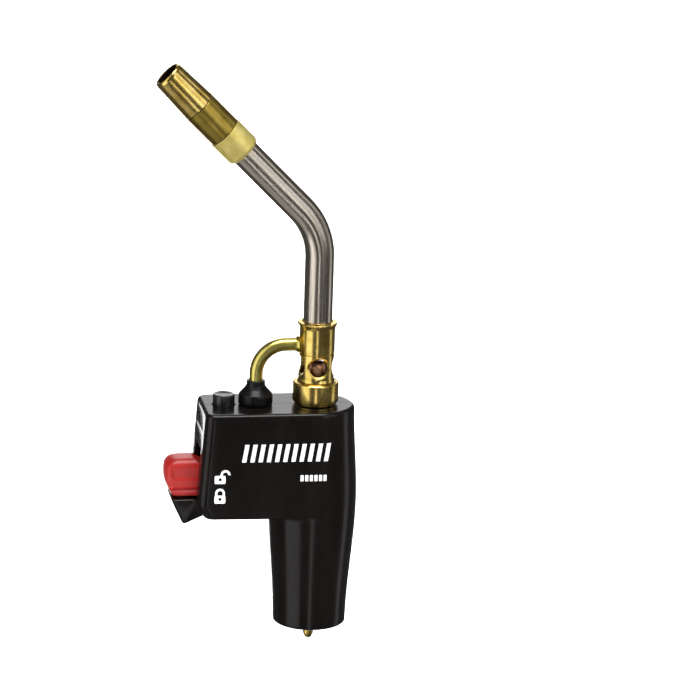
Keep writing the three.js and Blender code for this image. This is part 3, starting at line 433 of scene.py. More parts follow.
def matte_brass():
    """Brass tumbled in grit before assembly: pale, greenish and evenly matt."""
    grit = ({"size": 0.3}, 0.02, 0.7)  # coarser than the real grit marks
    tint = ({"size": 5, "detail": 4.0}, "#D6C36A", "#EBDB8A")
    return patterned("tumbled_matte_brass", {"Metallic": 0.85}, grit, tint, ({"size": 1.0}, 0.42, 0.58))


def drawn_tube(name, dark, light, rough_low, rough_high):
    """Tube drawn through a die: fine lines and colour streaks that run along it, read from its own map."""
    streaks = {
        "map": "along", "size": 1.0, "detail": 4.0, "soften": 0.5, "stretch": (0.03, 1.6, 1), "span": (0.32, 0.66),
    }
    # the real lines are finer
    lines = {"map": "along", "size": 1.0, "detail": 2.0, "soften": 0.5, "stretch": (0.04, 6.0, 1)}
    shine = ({"size": 3, "detail": 4.0}, rough_low, rough_high)
    return patterned(name, {"Metallic": 1.0}, (lines, 0.01, 0.3), (streaks, dark, light), shine)


def stainless():
    """Drawn stainless tube: warm grey, striped lengthwise by the die."""
    return drawn_tube("drawn_stainless_tube", "#A2978A", "#CFC7BA", 0.18, 0.3)


def drawn_brass():
    """Thin brass tube, drawn and bent: greener than the turned pieces."""
    return drawn_tube("drawn_brass_tube", "#C0AE52", "#E0D47A", 0.26, 0.36)


def plain_metal(name, dark, light, rough_low, rough_high, grain_mm, depth_mm):
    """A metal with a cast, rolled or plated skin."""
    tint = ({"size": 4, "detail": 4.0}, dark, light)
    shine = ({"size": 1.5}, rough_low, rough_high)
    return patterned(name, {"Metallic": 1.0}, ({"size": grain_mm}, depth_mm, 0.6), tint, shine)


def jet_bronze():
    """Phosphor bronze, turned and left bare: pinker than the brass round it."""
    return plain_metal("turned_phosphor_bronze", "#B88668", "#D8A888", 0.3, 0.45, 0.4, 0.01)


def spring_steel():
    """Hard-drawn spring wire: bright grey, faintly oiled."""
    return plain_metal("drawn_spring_wire", "#7C7E82", "#A2A4A8", 0.22, 0.36, 0.3, 0.006)


def zinc_steel():
    """Steel with bright zinc plating: silvery, cloudy in patches."""
    return plain_metal("bright_zinc_plated_steel", "#8C8F92", "#B4B7BA", 0.24, 0.42, 0.4, 0.008)


def cast_zinc():
    """Die-cast zinc alloy, as cast: dull grey with a slightly grainy skin."""
    return plain_metal("die_cast_zinc", "#74777A", "#94979A", 0.42, 0.58, 0.6, 0.03)


def natural_acetal():
    """Natural acetal: ivory, waxy and a little see-through."""
    constants = {"Roughness": 0.4, "Subsurface Weight": 0.15, "Subsurface Scale": 0.002}
    tint = ({"size": 8}, "#D2CBB8", "#E0DACA")
    return patterned("natural_acetal", constants, ({"size": 0.8}, 0.01, 0.4), tint)


def lead_silicone():
    """Silicone sleeve of the spark lead: pale grey and slightly dusty."""
    tint = ({"size": 3}, "#BFC0BC", "#D8D9D5")
    return patterned("silicone_sleeve", {"Roughness": 0.55}, ({"size": 0.4}, 0.01, 0.4), tint)


def alumina():
    """Fired alumina ceramic: off-white, fine and chalky."""
    tint = ({"size": 2}, "#E2DDD0", "#F0ECE2")
    return patterned("fired_alumina", {"Roughness": 0.45}, ({"size": 0.3}, 0.01, 0.4), tint)


def print_ink():
    """Pad-printed ink: white, thin enough that the plastic's pebble shows through as faint specks."""
    specks = {"size": 0.5, "span": (0.25, 0.5)}
    tint = (specks, "#D9D7D3", "#F1F0EE")
    return patterned("white_pad_print", {"Roughness": 0.45}, (specks, 0.008, 0.4), tint)


def studio_paper():
    """White sheet that gives off its own light, with a barely visible texture."""
    white = linear("#FFFFFF")
    constants = {
        "Base Color": white, "Roughness": 0.95, "Specular IOR Level": 0.1,
        "Emission Color": white, "Emission Strength": 1.0,
    }
    fibre = {"size": 10 / 3, "detail": 2.0, "soften": 0.5}
    return patterned("white_cove", constants, (fibre, 0.05, 0.1))


NYLON = black_nylon()
RED = red_acetal()
ABS = button_abs()
RUBBER = black_rubber()
BRASS = turned_brass()
BARREL = barrel_brass()
SLEEVE = sleeve_brass()
MATTE = matte_brass()
TUBE_BRASS = drawn_brass()
STEEL_TUBE = stainless()
SPRING = spring_steel()
BRONZE = jet_bronze()
ZINC = zinc_steel()
CAST = cast_zinc()
ACETAL = natural_acetal()
SILICONE = lead_silicone()
CERAMIC = alumina()
INK = print_ink()


# ================= housing =================

def body_radius(z):
    if z <= SWELL_Z:
        return FOOT_R + (SWELL_R - FOOT_R) * smoothstep(0, SWELL_Z, z)
    return SWELL_R + (CROWN_R - SWELL_R) * smoothstep(SWELL_Z, HEAD_TOP, z)


def front_face(z):
    """X of the front face: it leans out towards the jaw, then cuts back under it."""
    share = (z - JAW_TOP) / (HEAD_TOP - JAW_TOP)
    if share >= 0:
        return -(HEAD_FRONT_LOW + (HEAD_FRONT_TOP - HEAD_FRONT_LOW) * share)
    return -HEAD_FRONT_LOW + UNDERCUT * (JAW_TOP - z)


def side_of(x, z):
    """Y of the outside of the head's flat side."""
    radius = body_radius(z)
    if x >= 0:
        return math.sqrt(radius * radius - x * x)
    corner = front_face(z) + HEAD_CORNER_R
    return radius + (HEAD_HALF_WIDTH - radius) * min(1.0, x / corner)


DISH_DEPTH = 0.9
DISH_HALF = 13.5
DISH_LEVELS = [(WINDOW_HIGH + 0.6, 98.2), (98.2, 107.6)]  # two finger dishes above the window
LIP_R = 0.8  # rounding of the window's edge
LIP_DEPTH = 0.6


def front_relief(y, z):
    """How far the front face is pressed in: two shallow dishes, and the rounded lip of the window."""
    depth = 0.0
    for low, high in DISH_LEVELS:
        if low < z < high and y < DISH_HALF:
            level = math.sin(math.pi * (z - low) / (high - low))
            depth = DISH_DEPTH * level ** 0.7 * (1 - (y / DISH_HALF) ** 2)
    beyond = Vector((max(0.0, y - WINDOW_HALF), max(0.0, WINDOW_LOW - z, z - WINDOW_HIGH))).length
    if beyond < LIP_R:
        depth = max(depth, LIP_DEPTH * (1 - beyond / LIP_R) ** 2)
    return depth


LIP_STATIONS = [0, 0.25, 0.5, LIP_R]
FRONT_FLAT = HEAD_HALF_WIDTH - HEAD_CORNER_R
FRONT_STATIONS = [SEAM, 1.5, 3, 4.5, 6, 7.2, 8.2] + [WINDOW_HALF + s for s in LIP_STATIONS]
FRONT_STATIONS += [10.6, 11.6, 12.6, DISH_HALF, FRONT_FLAT]
WINDOW_COLUMN = FRONT_STATIONS.index(WINDOW_HALF)
CORNER_STEPS = 8
SIDE_STEPS = 18
BACK_STEPS = 24


def head_outline(z, inset, relief):
    """Half of the head in plan, from the middle of the front round to the middle of the back."""
    radius = body_radius(z) - inset
    half = HEAD_HALF_WIDTH - inset
    corner = max(0.3, HEAD_CORNER_R - inset)
    flat = half - corner
    front = front_face(z) + inset
    outline = []
    for y in FRONT_STATIONS:
        press = front_relief(y, z) if relief else 0.0
        outline.append(Vector((front + press, min(y, flat), 0)))
    for angle in spread(math.pi, math.pi / 2, CORNER_STEPS)[1:]:
        outline.append(Vector((front + corner + corner * math.cos(angle), flat + corner * math.sin(angle), 0)))
    for t in spread(0, 1, SIDE_STEPS)[1:]:
        outline.append(Vector(((front + corner) * (1 - t), half + (radius - half) * t, 0)))
    for angle in spread(math.pi / 2, 0, BACK_STEPS)[1:]:
        outline.append(Vector((radius * math.cos(angle), radius * math.sin(angle), 0)))
    return outline


FLOOR_FILLET = 2.0
FLOOR_EDGE_R = 1.0
ARC_STEPS = 6
FOOT_RIM = [(0, 0.7), (0.2, 0.35), (0.5, 0.1), (0.9, 0)]
WALL_LEVELS = [62.2, 63.4] + [WINDOW_LOW - s for s in reversed(LIP_STATIONS)]
WALL_LEVELS += spread(WINDOW_LOW + 1.5, WINDOW_HIGH - 1.5, 12)
WALL_LEVELS += [WINDOW_HIGH + s for s in LIP_STATIONS] + spread(91.0, 105.8, 24)
WINDOW_ROWS = (WALL_LEVELS.index(WINDOW_LOW), WALL_LEVELS.index(WINDOW_HIGH))


def skin_rows(inset):
    """Rows of half outlines up the housing, drawn in by inset, and the index of the first wall row."""
    relief = inset == 0
    floor = HEAD_FLOOR + inset
    top = HEAD_TOP - inset
    edge = max(0.3, EDGE_R - inset)
    foot_edge = max(0.3, FLOOR_EDGE_R - inset)
    base = head_outline(floor, inset + foot_edge, False)
    rows = []

    def ring(z, radii):
        rows.append([Vector((*(p.normalized() * r).xy, z)) for p, r in zip(base, radii)])

    for z, extra in FOOT_RIM:
        ring(z, [body_radius(z) - inset - (extra if relief else 0)] * len(base))
    for z in spread(FOOT_RIM[-1][0], floor - FLOOR_FILLET, 24)[1:]:
        ring(z, [body_radius(z) - inset] * len(base))
    for angle in spread(0, math.pi / 2, ARC_STEPS)[1:]:
        z = floor - FLOOR_FILLET + FLOOR_FILLET * math.sin(angle)
        out = FLOOR_FILLET * (1 - math.cos(angle))
        round_r = body_radius(z) - inset
        fillet = [round_r + min(out, max(0, p.length - round_r)) for p in base]
        ring(z, fillet)
    for share in spread(0, 1, 4)[1:]:
        ring(floor, [r + max(0, p.length - r) * share for p, r in zip(base, fillet)])

    def level(z, extra):
        outline = head_outline(z, inset + extra, relief)
        if z < SWELL_Z + EDGE_R:
            least = body_radius(z) - inset
            outline = [p * max(1, least / p.length) for p in outline]
        rows.append([Vector((p.x, p.y, z)) for p in outline])

    for angle in spread(0, math.pi / 2, ARC_STEPS)[1:]:
        level(floor + foot_edge * (1 - math.cos(angle)), foot_edge * (1 - math.sin(angle)))
    first_wall = len(rows)
    for z in WALL_LEVELS:
        level(z, 0)
    for angle in spread(0, math.pi / 2, ARC_STEPS):
        level(top - edge + edge * math.sin(angle), edge * (1 - math.cos(angle)))
    level(top, edge + 1.2)
    for row in rows:
        row[0].y = row[-1].y = SEAM
    return rows, first_wall


def top_seam(top):
    """Points along the seam of the top from back to front, round the halves of its three holes."""
    holes = [
        (0, PIPE_R + HOLE_CLEARANCE), (BOOT_X, TUBE_R + HOLE_CLEARANCE),
        (BUTTON_X, BUTTON_R + HOLE_CLEARANCE),
    ]
    points = []
    for x, radius in holes:
        swing = math.asin(SEAM / radius)
        for angle in spread(swing, math.pi - swing, 24):
            points.append(Vector((x + radius * math.cos(angle), radius * math.sin(angle), top)))
    return points


def housing_half(name, side):
    """One shell: an outer skin, an inner skin with the same layout, and walls that join their open edges."""
    skins = []
    for inset in (0, WALL):
        rows, first_wall = skin_rows(inset)
        skins.append([p for row in rows for p in row] + top_seam(HEAD_TOP - inset))
    columns = len(rows[0])
    hole_low, hole_high = (first_wall + i for i in WINDOW_ROWS)
    skin_faces = []
    for r in range(len(rows) - 1):
        for c in range(columns - 1):
            if hole_low <= r < hole_high and c < WINDOW_COLUMN:
                continue
            a = r * columns + c
            skin_faces.append((a, a + 1, a + 1 + columns, a + columns))
    last = (len(rows) - 1) * columns
    count = len(skins[0])
    skin_faces.append(tuple(range(last, last + columns)) + tuple(range(last + columns, count)))
    edges = {}
    for face in skin_faces:
        for a, b in zip(face, face[1:] + face[:1]):
            edges[frozenset((a, b))] = edges.get(frozenset((a, b)), []) + [(a, b)]
    walls = [(b, a, a + count, b + count) for used in edges.values() if len(used) == 1 for a, b in used]
    inner_faces = [tuple(count + v for v in reversed(face)) for face in skin_faces]
    points = [Vector((p.x, side * p.y, p.z)) for skin in skins for p in skin]
    return finish_mesh(name, mesh_of(name, points, skin_faces + inner_faces + walls), NYLON)


JAW_FLARE = 1.4
JAW_EDGE_R = 1.3


def subdivided(points, longest):
    """A closed outline with points added so that no edge is longer than longest."""
    fine = []
    for (a, b), (c, d) in zip(points, points[1:] + points[:1]):
        count = max(1, math.ceil(math.hypot(c - a, d - b) / longest))
        fine += [(a + (c - a) * i / count, b + (d - b) * i / count) for i in range(count)]
    return fine


def jaw_half(name, side):
    """The tongue under the trigger, with rounded edges and a flared root."""
    back = -HEAD_FRONT_LOW + 6
    jaw_top = TRIGGER_FOOT - 0.7
    outline = [
        (back, jaw_top, 0),
        (-HEAD_FRONT_LOW - JAW_REACH, jaw_top, 1.0),
        (-HEAD_FRONT_LOW - 6, HEAD_FLOOR - JAW_DROP, 1.6),
        (-HEAD_FRONT_LOW - 4.6, HEAD_FLOOR - JAW_DROP, 2.0),
        (-HEAD_FRONT_LOW + 6, HEAD_FLOOR + 0.1, 0),
    ]
    levels = [(SEAM, 0), (JAW_HALF - JAW_EDGE_R, 0)]
    for angle in spread(0, math.pi / 2, 5)[1:]:
        levels.append((JAW_HALF - JAW_EDGE_R * (1 - math.sin(angle)), JAW_EDGE_R * (1 - math.cos(angle))))
    rings = []
    plain = subdivided(rounded(outline, 5), 0.7)
    middle = Vector((sum(x for x, _ in plain) / len(plain), sum(z for _, z in plain) / len(plain)))
    for y, inset in levels:
        ring = []
        for x, z in plain:
            at = Vector((x, z)) + (middle - Vector((x, z))).normalized() * inset
            root = smoothstep(-JAW_FLARE, 0.4, at.x - front_face(at.y))
            flare = JAW_FLARE * root ** 2 if y > JAW_HALF - JAW_EDGE_R - 0.1 else 0
            ring.append(Vector((at.x, side * (y + flare), at.y)))
        rings.append(ring)
    points, faces = lofted(rings)
    return finish_mesh(name, mesh_of(name, points, faces), NYLON)


def applied(piece, modifier_kind, **settings):
    """Runs one modifier and keeps its result as the piece's mesh."""
    modifier = piece.modifiers.new("step", modifier_kind)
    for name, value in settings.items():
        setattr(modifier, name, value)
    graph = bpy.context.evaluated_depsgraph_get()
    mesh = bpy.data.meshes.new_from_object(piece.evaluated_get(graph))
    piece.modifiers.remove(modifier)
    old, piece.data = piece.data, mesh
    bpy.data.meshes.remove(old)
    return piece


SCREWS = [f"housing_screw_{i}" for i in (1, 2, 3, 4)]
SCREW_HEAD_R = 2.7
SCREW_HEAD_HEIGHT = 1.8
SHANK_R = 1.4
SCREW_BORE_R = SCREW_HEAD_R + 0.45
SHANK_BORE_R = SHANK_R + 0.2


def screw_place(node):
    """The underside of a screw's head, in millimetres, from its box in the frame."""
    low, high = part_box(node)
    top = Vector(((low.x + high.x) / 2, high.y, (low.z + high.z) / 2)) / MM
    return top - Vector((0, SCREW_HEAD_HEIGHT, 0))


def screw_seats(shell):
    """Cuts the counterbore that each screw's head sits in."""
    outward = Matrix.Rotation(-math.pi / 2, 4, "X")
    for node in SCREWS:
        spot = Matrix.Translation(screw_place(node)) @ outward
        bore = [
            (0.01, -4), (SHANK_BORE_R, -4), (SHANK_BORE_R, -0.05),
            (SCREW_BORE_R, -0.05), (SCREW_BORE_R, 6), (0.01, 6),
        ]
        cut = turned("counterbore", bore, NYLON, spot, 40)
        applied(shell, "BOOLEAN", object=cut, operation="DIFFERENCE", solver="EXACT")
        bpy.data.objects.remove(cut)


def housing():
    """Both shells, each with its half of the jaw joined on."""
    for name, side, node in (("right_housing_shell", 1, "right_shell"), ("left_housing_shell", -1, "left_shell")):
        shell = housing_half(name, side)
        jaw = jaw_half(name + "_jaw", side)
        applied(shell, "BOOLEAN", object=jaw, operation="UNION", solver="EXACT")
        bpy.data.objects.remove(jaw)
        if side > 0:
            screw_seats(shell)
        shell.data.set_sharp_from_angle(angle=EXACT_CORNER)
        seat(shell, "housing", "black_housing", node)


# ================= trigger =================

PANEL_LOW = 74.6
PANEL_DEPTH = 0.65
GROOVE_Z = 69.7
GROOVE_DEPTH = 1.3
FOOT_UNDERCUT = 2.0
TRIGGER_CROWN_R = 4.2
TRIGGER_EDGE_R = 0.5
TRIGGER_CORNER_R = 2.4


def trigger_side_relief(x, z):
    """How far the trigger's side is pressed in: a dished panel, a finger groove and an undercut foot."""
    panel_front = TRIGGER_FRONT + (TRIGGER_TOP - z) * 0.29
    panel = smoothstep(0, 1.6, x - panel_front) * smoothstep(PANEL_LOW - 0.7, PANEL_LOW + 0.9, z)
    groove = math.exp(-((z - GROOVE_Z) / 0.85) ** 2)
    foot = 1 - smoothstep(0.9, 1.7, z - TRIGGER_FOOT)
    fade = smoothstep(0, 2.5, x - TRIGGER_FRONT - 1)
    return PANEL_DEPTH * panel + (GROOVE_DEPTH * groove + FOOT_UNDERCUT * foot) * fade


def trigger_section(z):
    """The trigger in plan at a height: back edge, side, rounded corner and crowned front, then mirrored."""
    t = (z - TRIGGER_FOOT) / (TRIGGER_TOP - TRIGGER_FOOT)
    over = max(0.0, z - TRIGGER_TOP + TRIGGER_CROWN_R)
    drop = TRIGGER_CROWN_R - math.sqrt(max(0.0, TRIGGER_CROWN_R ** 2 - over ** 2))
    under = max(0.0, TRIGGER_FOOT + TRIGGER_EDGE_R - z)
    lift = TRIGGER_EDGE_R - math.sqrt(max(0.0, TRIGGER_EDGE_R ** 2 - under ** 2))
    front = TRIGGER_FRONT + 2.6 * (2 * t - 1.2) ** 2 + drop + lift
    half = TRIGGER_HALF - drop - lift
    back = -50.8 - 5.4 * smoothstep(TRIGGER_TOP - 4.6, TRIGGER_TOP - 1.4, z) - 0.6 * drop
    corner = TRIGGER_CORNER_R
    side = []
    for x in spread(back, front + corner, 44):
        side.append((x, half - trigger_side_relief(x, z)))
    edge = side[-1][1]
    for angle in spread(math.pi / 2, math.pi, 8)[1:]:
        side.append((front + corner + corner * math.cos(angle), edge - corner + corner * math.sin(angle)))
    reach = edge - corner
    for y in spread(reach, 0, 10)[1:]:
        side.append((front - 0.5 * (1 - (y / reach) ** 2), y))
    mirrored = [(x, -y) for x, y in reversed(side[:-1])]
    return [Vector((x, y, z)) for x, y in side + mirrored]


def trigger():
    levels = spread(TRIGGER_FOOT, TRIGGER_TOP - 2.6, 56)
    levels += [TRIGGER_TOP - 2.6 * (1 - math.sin(a)) for a in spread(0, math.pi / 2, 10)[1:]]
    points, faces = lofted([trigger_section(z) for z in levels])
    block = finish_mesh("trigger_block", mesh_of("trigger_block", points, faces), RED)
    tail = trigger_tail()
    applied(block, "BOOLEAN", object=tail, operation="UNION", solver="EXACT")
    bpy.data.objects.remove(tail)
    block.name = "moulded_trigger"
    block.data.set_sharp_from_angle(angle=EXACT_CORNER)
    seat(block, "trigger", "red_trigger", "trigger")


def trigger_tail():
    """The T-shaped tail that slides in the carriage's slot."""
    low, high = TRIGGER_FOOT + 1, TRIGGER_TOP - 5
    outline = [(-52, 3.1), (-47.6, 3.1), (-47.6, 6.1), (-44.7, 6.1)]
    outline += [(x, -y) for x, y in reversed(outline)]
    rings = [[Vector((x, y, z)) for x, y in outline] for z in (low, high)]
    points, faces = lofted(rings)
    return finish_mesh("trigger_tail", mesh_of("trigger_tail", points, faces), RED)


# ================= turned and swept pieces =================

def collar():
    """The collar that the mixer stands in, with a dished rim."""
    outline = rounded([
        (PIPE_R + GAP, SEAT_Z, 0), (COLLAR_R - 0.9, SEAT_Z, 0.3), (COLLAR_R - 0.9, SEAT_Z + 0.9, 0.1),
        (COLLAR_R, SEAT_Z + 1.3, 0.3), (COLLAR_R, COLLAR_TOP - 0.5, 0.4), (COLLAR_R - 0.6, COLLAR_TOP, 0.3),
        (MIXER_R + 1.6, COLLAR_TOP - 0.3, 0.5), (MIXER_R + GAP, COLLAR_TOP + 0.3, 0.3),
        (MIXER_R + GAP, SEAT_Z + 1.6, 0), (PIPE_R + GAP, SEAT_Z + 1.6, 0),
    ])
    seat(turned("gas_collar", outline, BRASS, sides=128), "housing", "brass", "mixer_collar")


def tip_ring():
    outline = rounded([
        (BURNER_R + GAP, RING_START, 0.3), (7.4, RING_START, 1.2), (8.5, RING_START + 1.3, 1.6),
        (8.5, RING_END, 0.25), (BURNER_R + GAP, RING_END, 0.2),
    ], 6)
    seat(turned("flame_tube_ring", outline, MATTE, TIP, 128), "housing", "matte_brass", "tip_base_ring")


def tip_sleeve():
    outline = rounded([(r, h, 0.2) for r, h in (
        (6.25, SLEEVE_START), (8.2, SLEEVE_START), (8.2, SLEEVE_END), (6.25, SLEEVE_END))])
    seat(turned("flame_tube_sleeve", outline, SLEEVE, TIP, 128), "housing", "tip_brass", "tip_sleeve")


def tip_barrel():
    """The barrel narrows to a rolled mouth."""
    outline = rounded([
        (5.6, BARREL_START, 0.2), (8.25, BARREL_START, 0.25),
        (7.35, MOUTH - 1.8, 2.0), (7.0, MOUTH - 0.5, 0.8),
        (6.4, MOUTH, 0.5), (5.7, MOUTH - 0.2, 0.5), (5.6, MOUTH - 1.4, 0.6),
    ], 6)
    seat(turned("flame_tube_barrel", outline, BARREL, TIP, 128), "housing", "tip_brass", "tip_barrel")


def boot():
    """The rubber bell round the foot of the ignition tube."""
    foot = HEAD_TOP + GAP
    outline = rounded([
        (TUBE_R + 0.1, foot, 0), (8.0, foot, 0.4), (8.2, foot + 1.2, 0.3), (8.1, foot + 4.9, 1.8),
        (5.6, foot + 7.6, 2.2), (4.45, foot + 9.2, 1.4),
        (4.35, foot + 11.6, 0.6), (TUBE_R + 0.1, foot + 11.6, 0),
    ], 6)
    place = Matrix.Translation((BOOT_X, 0, 0))
    seat(turned("tube_boot", outline, RUBBER, place), "housing", "black_rubber", "lead_boot")


def button():
    """The run-lock button: a dished top, a flange inside the shells and a stem."""
    crest = HEAD_TOP + 5.5
    flange = HEAD_TOP - WALL - GAP
    stem_end = 97.4
    outline = rounded([
        (0.01, crest - 0.7, 0), (2.4, crest - 0.6, 0.8),
        (4.2, crest - 0.05, 1.0), (BUTTON_R, crest - 0.2, 1.0),
        (BUTTON_R, flange, 0), (6.4, flange, 0.2), (6.4, flange - 1.6, 0.2), (2, flange - 1.6, 0.4),
        (2, stem_end, 0.3), (0.01, stem_end, 0),
    ], 6)
    place = Matrix.Translation((BUTTON_X, 0, 0))
    seat(turned("run_lock_knob", outline, ABS, place), "lock_button", "grey_button", "run_lock_button")


def jet():
    """The jet, drawn as a broader dome than the frame's."""
    outline = rounded([
        (0.6, 115.1, 0), (3.2, 115.1, 0.2), (3.2, 121, 0.3), (4.6, 122.5, 0.4),
        (4.6, 127.4, 0.4), (3.6, 129.4, 1.6),
        (1.4, 130, 0.4), (0.6, 129.6, 0.2),
    ])
    seat(turned("gas_jet", outline, BRONZE, sides=64), "housing", "brass", "jet_nozzle")


def nipple():
    """The pin that opens the cylinder's valve, on its flange."""
    outline = rounded([
        (0.8, -9.3, 0.1), (1.5, -9.3, 0.3), (2.5, -7.1, 0.5),
        (2.5, 11.8, 0.2), (8.6, 11.8, 0.4), (8.6, 15.7, 0.4),
        (4, 15.7, 0.2), (4, 22, 0.3), (0.8, 22, 0.1),
    ])
    seat(turned("inlet_nipple_turned", outline, BRASS, sides=64), "housing", "brass", "inlet_nipple")


def neck_seal():
    outline = rounded([(2.8, 9.5, 0.3), (8.6, 9.5, 0.5), (8.6, 11.5, 0.5), (2.8, 11.5, 0.3)])
    seat(turned("neck_seal", outline, RUBBER, sides=64), "housing", "black_rubber", "socket_seal")


THREAD_PITCH = 1.27
THREAD_DEPTH = 0.7
SOCKET_BORE_R = 12.75
SOCKET_R = 15.0
SOCKET_HOLE_R = 4.3
SOCKET_LOW = 0.8
SOCKET_HIGH = 18.0


def threaded_socket():
    """The socket ring, with a true helical thread: pressed out of its bore in a V that climbs a pitch a turn."""
    sides, per_pitch = 96, 6
    thread_top = SOCKET_HIGH - 2
    rim = [
        (SOCKET_HOLE_R, SOCKET_HIGH), (SOCKET_R - 0.4, SOCKET_HIGH), (SOCKET_R, SOCKET_HIGH - 0.4),
        (SOCKET_R, SOCKET_LOW + 0.4), (SOCKET_R - 0.4, SOCKET_LOW),
    ]
    rows = round((thread_top - SOCKET_LOW) / THREAD_PITCH * per_pitch)
    rings = []
    for i in range(sides):
        angle = 2 * math.pi * i / sides
        outline = list(rim)
        for z in spread(SOCKET_LOW, thread_top, rows):
            turn = ((z / THREAD_PITCH - i / sides) % 1.0) * 2 - 1
            fade = smoothstep(SOCKET_LOW, SOCKET_LOW + 1.2, z)
            fade *= 1 - smoothstep(thread_top - 1.0, thread_top, z)
            lead_in = 0.6 * (1 - smoothstep(SOCKET_LOW, SOCKET_LOW + 1, z))
            outline.append((SOCKET_BORE_R + THREAD_DEPTH * abs(turn) * fade + lead_in, z))
        outline.append((SOCKET_HOLE_R, thread_top))
        rings.append([Vector((r * math.cos(angle), r * math.sin(angle), z)) for r, z in outline])
    points, faces = lofted(rings + [rings[0]], close_ends=False)
    piece = finish_mesh("threaded_socket_ring", mesh_of("socket", points, faces), BRASS)
    seat(piece, "housing", "brass", "socket_ring")


def mixer_point(sector, u, v, radius):
    """A place on the mixer's wall: u is the angle from the sector's middle and v the height."""
    angle = sector * math.pi / 2 + u
    return Vector((radius * math.cos(angle), radius * math.sin(angle), v))


def hole_angle(across, radius):
    return math.asin(max(-1.0, min(1.0, across / radius)))


def mixer():
    """The mixer's wall with four round air holes, each in its own patch of the wall, and its turned ends."""
    per_side = 16
    quarter = math.pi / 4
    patch = 5.7
    low, high = AIR_HOLE_Z - patch, AIR_HOLE_Z + patch
    # square border of a patch, anticlockwise from its lower right corner, as (u, v) shares of -1 to 1
    edge = spread(-1, 1, per_side)[:-1]
    border = [(1, t) for t in edge] + [(-t, 1) for t in edge]
    border += [(-1, -t) for t in edge] + [(t, -1) for t in edge]
    around = len(border)
    # (radius of the wall there, share of the way from hole to border, widening of the hole)
    layers = [(MIXER_BORE_R, 1.0, 0), (MIXER_BORE_R, 0.5, 0), (MIXER_BORE_R, 0.0, 0)]
    chamfer = 0.95
    layers += [(MIXER_R - 0.8, 0.0, 0), (MIXER_R - 0.1, 0.0, chamfer - 0.15), (MIXER_R, 0.0, chamfer)]
    layers += [(MIXER_R, share, chamfer) for share in (0.12, 0.3, 0.5, 0.75, 1.0)]
    points, faces = [], []
    for sector in range(4):
        start = len(points)
        for radius, share, wider in layers:
            for bu, bv in border:
                angle = math.atan2(bv * patch, bu * quarter * MIXER_R)
                hole = AIR_HOLE_R + wider
                hole_u = hole_angle(hole * math.cos(angle), radius)
                hole_v = AIR_HOLE_Z + hole * math.sin(angle)
                u = hole_u + (bu * quarter - hole_u) * share
                v = hole_v + (AIR_HOLE_Z + bv * patch - hole_v) * share
                points.append(mixer_point(sector, u, v, radius))
        for layer in range(len(layers) - 1):
            for c in range(around):
                d = (c + 1) % around
                a = start + layer * around
                faces.append((a + c, a + d, a + around + d, a + around + c))
    lower = [
        (MIXER_R, low), (MIXER_R, MIXER_LOW + 10.2), (MIXER_R + 0.5, MIXER_LOW + 9.4),
        (MIXER_R + 0.1, MIXER_LOW + 9.0),
        (MIXER_R, MIXER_LOW), (PIPE_R + GAP, MIXER_LOW),
        (PIPE_R + GAP, MIXER_LOW + 3), (MIXER_BORE_R, MIXER_LOW + 3),
        (MIXER_BORE_R, low),
    ]
    groove = high + 0.6
    lip = MIXER_TOP + 0.8
    upper = [
        (MIXER_R, high), (MIXER_R, groove - 0.4), (MIXER_R - 0.45, groove - 0.25),
        (MIXER_R - 0.45, groove + 0.25),
        (MIXER_R, groove + 0.4), (MIXER_R, lip - 3.6), (MIXER_R + 0.2, lip - 2.6), (MIXER_R + 0.6, lip - 1.6),
        (MIXER_R + 0.95, lip - 1.1), (MIXER_R + 1.0, lip - 0.7),
        (MIXER_R + 0.7, lip - 0.3), (MIXER_R - 0.5, lip - 0.1),
        (MIXER_BORE_R + 0.2, lip), (MIXER_BORE_R, lip - 0.2), (MIXER_BORE_R, high),
    ]
    total = per_side * 4
    for outline in (lower, upper):
        start = len(points)
        for radius, z in outline:
            for i in range(total):
                points.append(mixer_point(0, quarter * (2 * i / per_side - 1), z, radius))
        for row in range(len(outline) - 1):
            for c in range(total):
                d = (c + 1) % total
                a = start + row * total
                faces.append((a + c, a + d, a + total + d, a + total + c))
    body = finish_mesh("gas_mixer", mesh_of("mixer", points, faces), BRASS)
    way_r = TUBE_R + 0.15
    way = [(0.01, -6.5), (way_r, -6.5), (way_r, -11), (0.01, -11)]
    bore = turned("ignition_way", way, BRASS, along_x(0, 0, IGNITION_Z), 48)
    applied(body, "BOOLEAN", object=bore, operation="DIFFERENCE", solver="EXACT")
    bpy.data.objects.remove(bore)
    body.data.set_sharp_from_angle(angle=EXACT_CORNER)
    seat(body, "housing", "brass", "mixer_body")


def burner():
    foot = Vector((0, 0, IGNITION_Z + TUBE_R + 0.9))
    slanted = Vector((-math.sin(SLANT), 0, math.cos(SLANT)))
    tube_end = CROSSING + slanted * (RING_END - 1.7)
    route = bent_route([foot, CROSSING, tube_end], [BURNER_BEND_R], 1.2)
    piece = swept_tube("bent_burner_tube", route, lambda s: BURNER_R, BURNER_BORE_R, STEEL_TUBE, 96)
    seat(piece, "housing", "stainless_tube", "burner_tube")


BRAZE_LENGTH = 2.2


